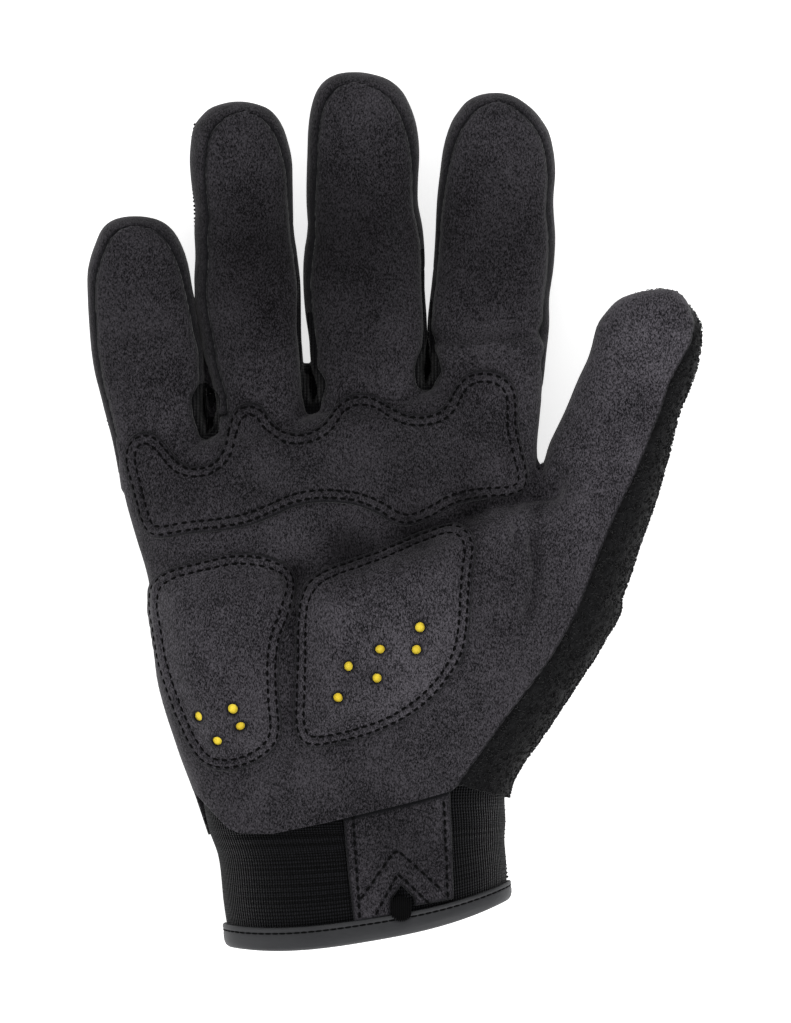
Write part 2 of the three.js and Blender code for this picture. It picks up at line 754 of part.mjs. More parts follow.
// The panels, each half a gap short of the seams between them
const half = seamGap / 2;
const shell = handForm(0).subtract(handForm(-wall).add(palmWristBore()));
const trimmed = shell.intersect(aheadOfHem(0));
const overThumbSeam = aboveThumbSeam(half).intersect(thumbSide);
const palmPanel = trimmed
  .intersect(aboveSeam(1, half).subtract(thumbSide).add(overThumbSeam))
  .subtract(terryFront(half));
const thumbPanel = trimmed
  .intersect(terryFront(-half).add(terryBack(-half)))
  .subtract(aboveThumbSeam(-half).subtract(terryFront(-half)));
const backPanel = trimmed
  .subtract(terryFront(half))
  .subtract(terryBack(half))
  .subtract(aboveSeam(-1, -half))
  .subtract(thumbSide);
const band = shell
  .subtract(aboveSeam(1, -half))
  .intersect(aboveSeam(-1, half))
  .subtract(thumbSide);

// Strips round the fingertips, and gussets between the fingers below them
const wrapStart = 0.42; // share of the finger's length
const crumb = 20; // cubic millimetres: what is smaller is left over from a cut

function beyondShare(finger, clear) {
  const start = wrapStart * finger.length + clear;
  const corners = [[-1, start], [1, start], [1, beyond], [-1, beyond]];
  const ahead = prism(corners.map(([side, distance]) => (
    planPoint(finger.root, finger.across, side * finger.width, finger.ahead, distance)
  )));
  return ahead.intersect(tubeForm(finger, fingerGap / 4));
}

const tipWraps = fingers.map((finger) => band.intersect(beyondShare(finger, half)));
const lowerBand = fingers.reduce((rest, finger) => rest.subtract(beyondShare(finger, -half)), band);
const gussets = lowerBand.decompose()
  .filter((solid) => solid.volume() > crumb)
  .sort((a, b) => a.boundingBox().min[0] - b.boundingBox().min[0]);

// Pads on the palm

const lift = (thickness) => handForm(seamGap + thickness);
const palmSurface = handForm(seamGap);
const palmSideOnly = layer(seamHeight, beyond);

function upperPadOutline() {
  const points = upperPadSides.map(palmPoint);
  fingers.forEach((finger, k) => {
    const flat = lobeReach * finger.width;
    points.push(rowPoint(finger.side - flat, lobeLead), rowPoint(finger.side + flat, lobeLead));
    if (k + 1 === fingers.length) return;
    const web = finger.side + finger.width / 2 + dipShift * finger.width;
    const dip = dipReach * finger.width;
    points.push(rowPoint(web - dip, -dipBack), rowPoint(web + dip, -dipBack));
  });
  return closedCurve(points, upperPadSteps);
}

const upperPad = lift(overlayThickness)
  .subtract(palmSurface)
  .intersect(prism(upperPadOutline()))
  .intersect(palmSideOnly);

function everyThird(line) {
  return line.filter((point, k) => k % 3 === 0);
}

// A lower pad is a sewn flange and a crown over foam, with holes that show the foam
function lowerPad(outline, dots) {
  const fineLine = closedCurve(outline.map(palmPoint), 3 * padSteps);
  const edgeLine = everyThird(fineLine);
  const crownLine = everyThird(shrinkClosed(fineLine, padFlange));
  const roomLine = everyThird(shrinkClosed(fineLine, padFlange + padCoverWall));
  const crownFoot = prism(crownLine).intersect(palmSideOnly);
  const foamRoom = prism(roomLine).intersect(palmSideOnly);
  const foamFoot = prism(shrinkClosed(roomLine, seamGap)).intersect(palmSideOnly);
  const flange = lift(padCoverWall).intersect(prism(edgeLine)).intersect(palmSideOnly);
  const crown = lift(padThickness).intersect(crownFoot);
  const room = lift(padThickness - padCoverWall).intersect(foamRoom);
  const holes = dots.map((dot) => prism(circle(palmPoint(dot), dotDiameter / 2, dotSides)));
  const cover = flange.add(crown).subtract(palmSurface).subtract(room).subtract(join(holes));
  const foam = lift(padThickness - padCoverWall - seamGap)
    .intersect(foamFoot)
    .subtract(palmSurface);
  return { cover, foam };
}

const heelPad = lowerPad(heelPadOutline, heelDots);
const thumbPad = lowerPad(thumbPadOutline, thumbDots);

// Rubber guards on the back

const guardOuter = lift(guardThickness + guardFlat).intersect(layer(0, seamHeight));
const guardInner = lift(guardBase);

function roundedBox(origin, across, ahead, halfWidth, start, end, corner) {
  const points = [];
  const corners = [[1, end, 0], [-1, end, 1], [-1, start, 2], [1, start, 3]];
  for (const [side, distance, quarter] of corners) {
    const inX = side * (halfWidth - corner);
    const inY = distance === end ? end - corner : start + corner;
    for (const step of [0, 1]) {
      const angle = ((quarter + step) * Math.PI) / 2;
      points.push(planPoint(
        origin, across, inX + corner * Math.cos(angle), ahead, inY + corner * Math.sin(angle)));
    }
  }
  return points;
}

function guard(base, blocks) {
  const blockForm = join(blocks.map((outline) => guardOuter.intersect(prism(outline))));
  const baseForm = guardInner.intersect(guardOuter).intersect(prism(base));
  return baseForm.add(blockForm).subtract(palmSurface);
}

const knuckleBlocks = fingers.map((finger) => roundedBox(
  finger.root,
  finger.across,
  finger.ahead,
  (knuckleBlock.width * finger.width) / 2,
  knuckleBlock.back * palmLength,
  knuckleBlock.front * palmLength,
  knuckleBlock.corner * finger.width,
));
const knuckleBase = roundedBox(
  rowCentre,
  rowAlong,
  rowForward,
  (palmWidth * (1 - knucklePlate.margin)) / 2,
  knuckleBlock.back * palmLength - guardMargin,
  knuckleBlock.front * palmLength + guardMargin,
  knucklePlate.corner * palmWidth,
);
const knuckleGuard = guard(knuckleBase, knuckleBlocks);

const fingerGuards = fingers.map((finger) => {
  const blocks = guardBlocks.map((block) => roundedBox(
    finger.root,
    finger.across,
    finger.ahead,
    (block.width * finger.width) / 2,
    block.start * finger.length,
    block.end * finger.length,
    block.corner * finger.width,
  ));
  const first = guardBlocks[0];
  const base = roundedBox(
    finger.root,
    finger.across,
    finger.ahead,
    (first.width * finger.width) / 2 + guardMargin,
    first.start * finger.length - guardMargin,
    guardBlocks.at(-1).end * finger.length + guardMargin,
    guardBaseCorner * finger.width,
  );
  return guard(base, blocks);
});

// Cuff, its binding, its tab and the tack over the tab's notch

const cuff = cuffForm(0).subtract(cuffBore(-knitWall));
const bindingStart = cuffEnd - bindingWidth / endRun;
const bindingEnd = bindingWall + seamGap;
const binding = cuffForm(seamGap + bindingWall, bindingStart, bindingEnd)
  .subtract(cuffBore(-knitWall - seamGap - bindingWall))
  .subtract(cuffForm(seamGap, 0, seamGap).subtract(cuffBore(-knitWall - seamGap)));

const tabOutline = [
  ...tabSides.map(({ along, left }) => cuffPoint(left, along)),
  ...tabSides.map(({ along, right }) => cuffPoint(right, along)).reverse(),
];

// The notch is cut on past the tab's edge, several times its own depth
const notchRun = 4;
const notchEnd = notch.top + (notch.bottom - notch.top) * notchRun;
const notchSpread = (notch.width / 2) * notchRun;
const notchOpening = prism([
  cuffPoint(notch.x, notch.top),
  cuffPoint(notch.x - notchSpread, notchEnd),
  cuffPoint(notch.x + notchSpread, notchEnd),
]);
const tab = cuffForm(seamGap + tabThickness, 0, -bindingWidth - seamGap)
  .subtract(cuffForm(seamGap))
  .intersect(prism(tabOutline))
  .intersect(palmSideOnly)
  .subtract(aheadOfHem(-seamGap))
  .subtract(notchOpening);
const tackFoot = seamGap + tabThickness + seamGap;
const barTack = cuffForm(tackFoot + tackThickness)
  .subtract(cuffForm(tackFoot, 0, bindingWidth))
  .intersect(palmSideOnly)
  .intersect(prism([
    cuffPoint(tack.x - tack.width / 2, tack.bottom),
    cuffPoint(tack.x + tack.width / 2, tack.bottom),
    cuffPoint(tack.x + tack.width / 2, tack.top),
    cuffPoint(tack.x - tack.width / 2, tack.top),
  ]));

// Materials and the finished glove

function material(color, roughness) {
  return new THREE.MeshStandardMaterial({ color, roughness, metalness: 0 });
}

const suede = material('#38383b', 0.95);
const knit = material('#151517', 0.9);
const terry = material('#111113', 1);
const edging = material('#4a4c50', 0.6);
const foamMaterial = material('#e0bd2c', 0.8);
const rubber = material('#1c1c1e', 0.55);

const pieces = [
  ['palm_panel', palmPanel, suede],
  ['back_panel', backPanel, knit],
  ['thumb_terry_panel', thumbPanel, terry],
  ['upper_palm_pad', upperPad, suede],
  ['heel_pad_cover', heelPad.cover, suede],
  ['heel_pad_foam', heelPad.foam, foamMaterial],
  ['thumb_pad_cover', thumbPad.cover, suede],
  ['thumb_pad_foam', thumbPad.foam, foamMaterial],
  ['cuff', cuff, knit],
  ['cuff_tab', tab, suede],
  ['cuff_binding', binding, edging],
  ['cuff_bar_tack', barTack, knit],
  ['knuckle_guard', knuckleGuard, rubber],
  ['side_strip_little', gussets[0], suede],
  ['fourchette_little_ring', gussets[1], knit],
  ['fourchette_ring_middle', gussets[2], knit],
  ['fourchette_middle_index', gussets[3], knit],
  ['side_strip_index', gussets[4], suede],
];
fingers.forEach((finger, k) => {
  pieces.push([`tip_wrap_${finger.name}`, tipWraps[k], suede]);
  pieces.push([`finger_guard_${finger.name}`, fingerGuards[k], rubber]);
});

const glove = new THREE.Group();
for (const [name, solid, finish] of pieces) {
  const mesh = new THREE.Mesh(toGeometry(solid), finish);
  mesh.name = name;
  glove.add(mesh);
}

// The middle of the glove's box, on the surface that it lies on, becomes the origin
const box = new THREE.Box3().setFromObject(glove);
const middle = box.getCenter(new THREE.Vector3());
for (const mesh of glove.children) mesh.position.set(-middle.x, -middle.y, -box.min.z);

export default glove;
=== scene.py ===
"""The impact glove's surfaces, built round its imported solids.

Lengths are in millimetres until a mesh is made. X is to the thumb's side, Y to the fingertips
and Z up out of the palm. Places that were read off the photograph are in its pixels.
"""

import math

import bpy
import numpy as np
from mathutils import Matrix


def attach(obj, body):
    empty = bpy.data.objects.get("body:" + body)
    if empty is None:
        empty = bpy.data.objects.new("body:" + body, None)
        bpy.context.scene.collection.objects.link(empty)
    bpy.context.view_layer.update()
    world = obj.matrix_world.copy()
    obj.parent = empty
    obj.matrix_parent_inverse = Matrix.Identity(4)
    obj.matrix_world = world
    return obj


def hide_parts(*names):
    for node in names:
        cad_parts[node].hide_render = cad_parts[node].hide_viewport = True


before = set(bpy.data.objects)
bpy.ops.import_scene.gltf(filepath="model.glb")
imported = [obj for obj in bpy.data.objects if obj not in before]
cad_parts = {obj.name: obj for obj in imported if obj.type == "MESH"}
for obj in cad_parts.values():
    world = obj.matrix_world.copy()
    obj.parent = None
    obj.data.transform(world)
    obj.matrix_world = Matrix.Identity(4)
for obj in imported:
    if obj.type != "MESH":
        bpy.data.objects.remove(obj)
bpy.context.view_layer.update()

MILLIMETRE = 0.001

# The photograph: its scale, and the pixel over the row's origin
PIXEL = 0.285
PHOTO_SIZE = (791, 1023)
ORIGIN_PIXEL = np.array([391.65, 510.79])
PHOTO_MIDDLE = np.array([395.5, 511.5])

# Heights
SEAM = 15.5  # the side seam over the surface that the glove lies on
BACK_DROP = 11.2  # back of the hand below the seam
PALM_RISE = 23.0
FINGER_CURL = 7.0
LONGEST_FINGER = 93.5
THUMB_LIFT = 8.5
WALL = 1.3  # of the skin's panels
FAR = 1e4  # farther off than any place on the glove

# Web line between the fingers and the palm
WEB_MIDDLE = np.array([-19.75, 28.84])
WEB_TILT = math.radians(11.7)
WEB_ALONG = np.array([math.cos(WEB_TILT), math.sin(WEB_TILT)])
WEB_AHEAD = np.array([-math.sin(WEB_TILT), math.cos(WEB_TILT)])
WEB_ROUND = 9.0


def on_photo(pixels):
    """A pixel's place in plan: its offset from the origin's pixel times the scale, with y up."""
    pixels = np.asarray(pixels, float)
    return (pixels - ORIGIN_PIXEL) * np.array([PIXEL, -PIXEL])


def to_pixels(plan):
    """The pixel over a place in plan, the inverse of on_photo."""
    return plan * np.array([1, -1]) / PIXEL + ORIGIN_PIXEL


# Camera, light and floor

def look_down():
    """A long lens straight above, so far away that its view spreads little over the glove."""
    distance = 2500.0
    camera = bpy.data.cameras.new("camera")
    camera.sensor_fit = "VERTICAL"
    camera.sensor_height = 24.0
    camera.lens = camera.sensor_height * distance / (PHOTO_SIZE[1] * PIXEL)
    camera.clip_end = 20.0
    holder = bpy.data.objects.new("camera", camera)
    middle = on_photo(PHOTO_MIDDLE)
    height = distance + SEAM + PALM_RISE / 2
    holder.location = np.array([middle[0], middle[1], height]) * MILLIMETRE
    bpy.context.scene.collection.objects.link(holder)
    bpy.context.scene.camera = holder


def lamp(name, place, size, power):
    """A square area light that faces the glove's middle."""
    light = bpy.data.lights.new(name, "AREA")
    light.size = size
    light.energy = power
    holder = bpy.data.objects.new(name, light)
    holder.location = place
    holder.rotation_euler = (-holder.location).to_track_quat("-Z", "Y").to_euler()
    bpy.context.scene.collection.objects.link(holder)


look_down()
lamp("key", (0.75, -0.85, 0.75), 0.7, 11.0)
lamp("fill", (-1.0, -0.35, 0.7), 0.8, 5.0)
lamp("rear", (-0.1, 1.2, 0.7), 0.8, 4.5)

world = bpy.data.worlds.new("studio")
world.use_nodes = True
world.node_tree.nodes["Background"].inputs["Color"].default_value = (1, 1, 1, 1)
world.node_tree.nodes["Background"].inputs["Strength"].default_value = 0.6
bpy.context.scene.world = world
bpy.context.scene.view_settings.view_transform = "Standard"


# Shader maths written as expressions

class Value:
    """A node's output socket. Sums, products and the like on it add Math nodes."""

    def __init__(self, shader, socket):
        self.shader = shader
        self.socket = socket

    def maths(self, operation, *values):
        settings = {"operation": operation}
        return self.shader.node("ShaderNodeMath", settings, dict(enumerate(values)))

    def __add__(self, other):
        return self.maths("ADD", self, other)

    def __sub__(self, other):
        return self.maths("SUBTRACT", self, other)

    def __mul__(self, other):
        return self.maths("MULTIPLY", self, other)

    def sine(self):
        return self.maths("SINE", self)

    def clamp(self, low, high):
        return self.maths("MAXIMUM", self.maths("MINIMUM", self, high), low)

    __radd__ = __add__
    __rmul__ = __mul__


class Finish:
    """A material with one Principled shader, and the way to its nodes."""

    def __init__(self, name, roughness, sheen=0.0, sheen_roughness=0.5, specular=0.06):
        self.material = bpy.data.materials.new(name)
        self.material.use_nodes = True
        self.tree = self.material.node_tree
        self.surface = self.tree.nodes["Principled BSDF"]
        self.surface.inputs["Roughness"].default_value = roughness
        self.surface.inputs["Specular IOR Level"].default_value = specular
        self.surface.inputs["Sheen Weight"].default_value = sheen
        self.surface.inputs["Sheen Roughness"].default_value = sheen_roughness

    def node(self, kind, settings=None, inputs=None, output=0):
        """A node of a kind, its settings first, then the values or links of its sockets."""
        made = self.tree.nodes.new(kind)
        for name, value in (settings or {}).items():
            setattr(made, name, value)
        for name, value in (inputs or {}).items():
            if isinstance(value, Value):
                self.tree.links.new(value.socket, made.inputs[name])
            else:
                made.inputs[name].default_value = value
        return Value(self, made.outputs[output])

    def feed(self, socket, value):
        """Links a value to one of the surface's sockets."""
        self.tree.links.new(value.socket, self.surface.inputs[socket])

    def place(self):
        """Where the surface is, in metres, in the object's own frame."""
        return self.node("ShaderNodeTexCoord", output="Object")

    def stretched(self, vector, scale, turn=0.0):
        """A place scaled along each axis and turned about Z."""
        inputs = {"Vector": vector, "Scale": scale, "Rotation": (0, 0, turn)}
        return self.node("ShaderNodeMapping", inputs=inputs)

    def noise(self, vector, size, detail=2.0, rough=0.5):
        """Noise whose largest features are about as wide as the size in millimetres."""
        inputs = {"Vector": vector, "Scale": 1 / (size * MILLIMETRE), "Detail": detail,
                  "Roughness": rough}
        return self.node("ShaderNodeTexNoise", inputs=inputs)

    def attribute(self, name):
        """A layer of numbers that make_piece has put on the mesh's points."""
        return self.node("ShaderNodeAttribute", {"attribute_name": name}, output="Fac")

    def axes(self, vector):
        """The three parts of a vector."""
        made = self.node("ShaderNodeSeparateXYZ", inputs={"Vector": vector}).socket.node
        return [Value(self, socket) for socket in made.outputs]

    def mix(self, share, dark, light):
        """A colour between two others."""
        made = self.node("ShaderNodeMix", {"data_type": "RGBA"}, {"Factor": share}, output=2)
        for index, colour in ((6, dark), (7, light)):
            socket = made.socket.node.inputs[index]
            if isinstance(colour, Value):
                self.tree.links.new(colour.socket, socket)
            else:
                socket.default_value = (*colour, 1)
        return made

    def bump(self, height, depth, strength=1.0):
        """Relief of a depth in millimetres."""
        inputs = {"Height": height, "Distance": depth * MILLIMETRE, "Strength": strength}
        self.feed("Normal", self.node("ShaderNodeBump", inputs=inputs))


def spread(value, low, high):
    """A value between low and high, carried to 0 to 1."""
    return ((value - low) * (1 / (high - low))).clamp(0.0, 1.0)


def toned(tone, colour):
    """A colour made darker or lighter by a factor."""
    return tuple(tone * part for part in colour)


def suede(name, lean=0.0, tone=1.0):
    """Charcoal synthetic suede: short fibres that lie mostly along the glove, light on dark, scaled
    by the nap layer, a slow change of tone that holds painted shade and painted highlights as well,
    and drawn near-black towards seams and edges: painted shade in the grooves, with flattened nap."""
    finish = Finish(name, 0.95, sheen=0.12, sheen_roughness=0.45)
    place = finish.place()
    along = finish.stretched(place, (1.0, 0.55, 0.8), lean)
    fibre = finish.noise(along, 0.4, 2.0, 0.85)
    fleck = finish.noise(place, 1.7, 2.0, 0.6)
    cloud = finish.noise(place, 16.0, 2.0, 0.5)
    nap = fibre + fleck * 0.13 + cloud * 0.2
    light = spread(nap, 0.55, 0.83)
    colour = finish.mix(light, toned(tone, (0.0055, 0.0052, 0.0066)),
                        toned(tone, (0.113, 0.105, 0.12)))
    # The nap layer: tone of the nap, with painted shade in the folds and down the fingers, and
    # painted highlights on the thumb and the pads.
    nap_and_painted_light = finish.mix(finish.attribute("nap"), (0.0, 0.0, 0.0), colour)
    # Near-black within about a millimetre of seams and edges: painted shade in the grooves, with
    # flattened nap.
    seam_wear_and_shade = spread(finish.attribute("seam"), 0.1, 1.1)
    finish.feed("Base Color", finish.mix(seam_wear_and_shade, (0.005, 0.005, 0.006), nap_and_painted_light))
    finish.bump(fibre * 0.8 + fleck * 0.2, 0.35, 0.6)
    return finish.material


def knit(name, pitch, along_share):
    """Black knit: rows and columns of stitches, a wave of one pitch across and another along."""
    finish = Finish(name, 0.85, sheen=0.15, sheen_roughness=0.3)
    x, y, z = finish.axes(finish.place())
    across = (x * (math.tau / (pitch * MILLIMETRE))).sine()
    along = (y * (math.tau / (pitch * along_share * MILLIMETRE))).sine()
    yarn = across * 0.5 + along * 0.5
    fuzz = finish.noise(finish.place(), 0.6, 2.0, 0.6)
    light = spread(yarn * 0.4 + fuzz, 0.1, 1.0)
    finish.feed("Base Color", finish.mix(light, (0.0007, 0.0007, 0.001), (0.0065, 0.0065, 0.0075)))
    finish.bump(yarn * 0.5 + fuzz * 0.5, 0.4, 0.6)
    return finish.material


def cuff_knit(name):
    """Black elastic knit: its ribs follow the cuff's own map, in millimetres round and along."""
    finish = Finish(name, 0.8, sheen=0.12, sheen_roughness=0.3)
    around, along, _ = finish.axes(finish.node("ShaderNodeUVMap", {"uv_map": "cloth"}))
    fuzz = finish.noise(finish.place(), 0.5, 2.0, 0.6)
    wander = (fuzz - 0.5) * 0.9
    rib = (around * (math.tau / 0.78) + wander).sine()
    row = (along * (math.tau / 0.8) + wander).sine()
    yarn = rib * 0.52 + row * 0.48
    light = spread(yarn * 0.55 + fuzz, 0.4, 1.1)
    finish.feed("Base Color", finish.mix(light, (0.0004, 0.0004, 0.0006), (0.0145, 0.0145, 0.0172)))
    finish.bump(yarn, 0.5, 0.9)
    return finish.material


def terry(name, tone=1.0):
    """Black terry: a rough pile of small loops."""
    finish = Finish(name, 0.95, sheen=0.1, sheen_roughness=0.5)
    place = finish.place()
    pile = finish.noise(place, 1.1, 3.0, 0.65)
    tuft = finish.noise(place, 3.2, 2.0, 0.5)
    light = spread(pile * 0.7 + tuft * 0.4, 0.35, 0.75)
    finish.feed("Base Color", finish.mix(light, toned(tone, (0.0007, 0.0007, 0.0009)),
                                         toned(tone, (0.0088, 0.0088, 0.0096))))
    finish.bump(pile * 0.6 + tuft * 0.4, 1.1, 0.9)
    return finish.material


def smooth_binding(name):
    """Grey binding tape: fine cross threads and a dull shine."""
    finish = Finish(name, 0.55, specular=0.35)
    place = finish.place()
    thread = finish.noise(finish.stretched(place, (0.25, 1.0, 1.0), 0.16), 0.5, 2.0, 0.5)
    cloud = finish.noise(place, 9.0, 2.0, 0.5)
    light = spread(thread * 0.5 + cloud * 0.5, 0.3, 0.7)
    finish.feed("Base Color", finish.mix(light, (0.0155, 0.016, 0.018), (0.026, 0.0265, 0.029)))
    finish.feed("Roughness", 0.5 + 0.2 * thread)
    finish.bump(thread, 0.12, 0.5)
    return finish.material


def foam(name):
    """Yellow foam: fine open pores, coloured darker where they are deep, painted shade in the
    pores.
    """
    finish = Finish(name, 0.75, specular=0.2)
    place = finish.place()
    pore = finish.noise(place, 0.8, 3.0, 0.7)
    cloud = finish.noise(place, 7.0, 1.0, 0.5)
    # The colour follows the pores' depth: painted shade in the pits.
    light = spread(pore * 0.5 + cloud * 0.6, 0.3, 0.75)
    finish.feed("Base Color", finish.mix(light, (0.75, 0.5, 0.02), (1.0, 0.8, 0.07)))
    finish.bump(pore, 0.25, 0.6)
    return finish.material


def thread(name):
    """Black sewing thread with its twist."""
    finish = Finish(name, 0.8)
    twist = finish.noise(finish.place(), 0.35, 1.0, 0.5)
    finish.feed("Base Color", finish.mix(twist, (0.0006, 0.0006, 0.0007), (0.0022, 0.0022, 0.0024)))
    finish.bump(twist, 0.1, 0.5)
    return finish.material


def moulded_rubber(name):
    """Matte black rubber: a fine moulded grain in its roughness and relief, and a little lighter
    where it is rubbed.
    """
    finish = Finish(name, 0.5, specular=0.4)
    place = finish.place()
    grain = finish.noise(place, 0.45, 2.0, 0.6)
    rub = finish.noise(place, 12.0, 3.0, 0.6)
    finish.feed("Base Color", finish.mix(rub, (0.0075, 0.0075, 0.008), (0.0165, 0.0165, 0.0175)))
    finish.feed("Roughness", 0.42 + 0.28 * grain)
    finish.bump(grain, 0.08, 0.5)
    return finish.material


# Mesh arrays

def make_piece(name, points, faces, material, slot, nodes=(), layers=None, padded=None):
    """Puts arrays of points in millimetres and of faces into a new piece that rides on the body."""
    mesh = bpy.data.meshes.new(name)
    mesh.from_pydata((points * MILLIMETRE).tolist(), [], faces.tolist())
    mesh.polygons.foreach_set("use_smooth", np.ones(len(faces), bool))
    # The seam layer and the nap layer darken and lighten suede: painted shade near seams and edges
    # with flattened nap, and nap tone with painted shade and painted highlights.
    layers = {"seam": np.full(len(points), 9.0), **(layers or {}), "nap": nap_tone_and_painted_light(points[:, :2])}
    for layer, values in layers.items():
        attribute = mesh.attributes.new(layer, "FLOAT", "POINT")
        attribute.data.foreach_set("value", values.astype(np.float32))
    mesh.update()
    piece = bpy.data.objects.new(name, mesh)
    bpy.context.scene.collection.objects.link(piece)
    mesh.materials.append(material)
    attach(piece, "root")
    if nodes:
        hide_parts(*nodes)
    return piece


def thicken(piece):
    """Gives a skin its wall, inwards."""
    solidify = piece.modifiers.new("wall", "SOLIDIFY")
    solidify.thickness = WALL * MILLIMETRE
    solidify.offset = -1.0


def unit(vectors):
    """Vectors at a length of 1."""
    return vectors / np.maximum(np.linalg.norm(vectors, axis=1, keepdims=True), 1e-12)


def bell(away, reach):
    """1 in the middle, and exp(-(away / reach)^2) round it."""
    return np.exp(-(away / reach) ** 2)


def grid_places(rows, columns):
    """Row and column of every place of a grid, row by row."""
    return (axis.ravel() for axis in np.meshgrid(np.arange(rows), np.arange(columns),
                                                 indexing="ij"))


def smooth_share(value):
    """0 below 0, 1 above 1, and the smooth step 3t^2 - 2t^3 between them."""
    share = np.clip(value, 0, 1)
    return share * share * (3 - 2 * share)


def through(knots, values, at):
    """A smooth curve through values at knots: cubic Hermite pieces whose slope at each knot is
    that of the line between its neighbours. It stays level past both ends."""
    knots = np.asarray(knots, float)
    values = np.asarray(values, float)
    at = np.clip(at, knots[0], knots[-1])
    slopes = np.gradient(values, knots)
    k = np.clip(np.searchsorted(knots, at, "right") - 1, 0, len(knots) - 2)
    span = knots[k + 1] - knots[k]
    t = (at - knots[k]) / span
    rest = 1 - t
    return (values[k] * (1 + 2 * t) * rest * rest + slopes[k] * span * t * rest * rest
            + values[k + 1] * t * t * (3 - 2 * t) - slopes[k + 1] * span * t * t * rest)


def closed_line(points, step):
    """A closed Catmull-Rom curve through points, taken at equal steps."""
    points = np.asarray(points, float)
    fine = 24
    t = (np.arange(fine) / fine)[:, None]
    before, start, end, after = (np.roll(points, shift, 0)[:, None] for shift in (1, 0, -1, -2))
    curve = 0.5 * (2 * start + (end - before) * t
                   + (2 * before - 5 * start + 4 * end - after) * t**2
                   + (3 * start - before - 3 * end + after) * t**3)
    return even_steps(np.vstack([curve.reshape(-1, 2), points[:1]]), step)[:-1]


def even_steps(line, step):
    """An open line's points at equal steps, as near to the given step as its length allows."""
    lengths = np.r_[0, np.cumsum(np.linalg.norm(np.diff(line, axis=0), axis=1))]
    count = max(int(round(lengths[-1] / step)), 1)
    at = np.linspace(0, lengths[-1], count + 1)
    return np.stack([np.interp(at, lengths, line[:, axis]) for axis in (0, 1)], -1)


def distance_to_line(plan, line):
    """Least distance from each place to the line's stretches."""
    start = line[:-1]
    run = np.diff(line, axis=0)
    offset = plan[:, None] - start[None]
    share = np.clip((offset * run).sum(-1) / (run * run).sum(-1), 0, 1)
    return np.sqrt(((offset - share[..., None] * run) ** 2).sum(-1).min(1))


def inside_depth(plan, outline):
    """Distance to a closed outline, positive inside it by the even-odd rule."""
    closed = np.vstack([outline, outline[:1]])
    away = np.concatenate([distance_to_line(part, closed) for part in
                           np.array_split(plan, max(len(plan) // 4000, 1))])
    x, y = plan[:, 0:1], plan[:, 1:2]
    ax, ay = closed[:-1].T
    bx, by = closed[1:].T
    crosses = (ay > y) != (by > y)
    rise = np.where(by == ay, 1.0, by - ay)
    left_of = x < (bx - ax) * (y - ay) / rise + ax
    inside = (crosses & left_of).sum(1) % 2 == 1
    return np.where(inside, away, -away)


def corner_normals(points, faces):
    """Unit normals at the points: the sum of the triangles' area vectors round each."""
    a, b, c = (points[faces[:, k]] for k in range(3))
    area = np.cross(b - a, c - a)
    normals = np.zeros_like(points)
    for axis in range(3):
        for k in range(3):
            normals[:, axis] += np.bincount(faces[:, k], area[:, axis], len(points))
    return unit(normals)


def edges_of(faces):
    """Each edge of the triangles once, as two numbers of points, the lower one first."""
    pairs = np.sort(np.vstack([faces[:, [0, 1]], faces[:, [1, 2]], faces[:, [2, 0]]]), axis=1)
    return np.unique(pairs, axis=0)


def relax(points, faces, rounds):
    """Moves each point to its neighbours' mean and back a little further out (Taubin), so that
    corners soften and the size stays."""
    a, b = edges_of(faces).T
    count = np.bincount(np.r_[a, b], minlength=len(points))[:, None]
    for _ in range(rounds):
        for share in (0.5, -0.51):
            total = np.stack([np.bincount(np.r_[a, b], np.r_[points[b, k], points[a, k]],
                                          len(points)) for k in range(3)], -1)
            points = points + share * (total / count - points)
    return points


def clip(points, faces, field, layers):
    """The part of a triangle mesh where the field is positive. A new point lies where the field
    is zero on each edge that it crosses, in a straight proportion, and so do its layers."""
    inside = field > 0
    a, b = edges_of(faces).T
    cut = inside[a] != inside[b]
    a, b = a[cut], b[cut]
    share = (field[a] / (field[a] - field[b]))[:, None]
    added = points[a] + share * (points[b] - points[a])
    keys = a * len(points) + b
    order = np.argsort(keys)

    def crossing(p, q):
        """The number of the new point on the edge between two points."""
        key = np.minimum(p, q) * len(points) + np.maximum(p, q)
        return len(points) + order[np.searchsorted(keys[order], key)]

    count = inside[faces].sum(1)
    kept = [faces[count == 3]]
    for wanted in (1, 2):
        some = faces[count == wanted]
        odd = inside[some] if wanted == 1 else ~inside[some]
        turn = odd.argmax(1)
        rolled = np.stack([some[np.arange(len(some)), (turn + k) % 3] for k in range(3)], 1)
        p, q, r = rolled.T
        if wanted == 1:
            kept.append(np.stack([p, crossing(p, q), crossing(p, r)], 1))
        else:
            kept.append(np.stack([crossing(p, q), q, r], 1))
            kept.append(np.stack([crossing(p, q), r, crossing(p, r)], 1))
    faces = np.vstack(kept)
    every = np.vstack([points, added])
    used, faces = np.unique(faces, return_inverse=True)
    blended = {name: np.r_[values, values[a] + share[:, 0] * (values[b] - values[a])][used]
               for name, values in layers.items()}
    return every[used], faces.reshape(-1, 3), blended


def outward(points, faces):
    """The faces, turned round together if the closed skin's signed volume is below zero."""
    a, b, c = (points[faces[:, k]] for k in range(3))
    return faces if (a * np.cross(b, c)).sum() > 0 else faces[:, ::-1]


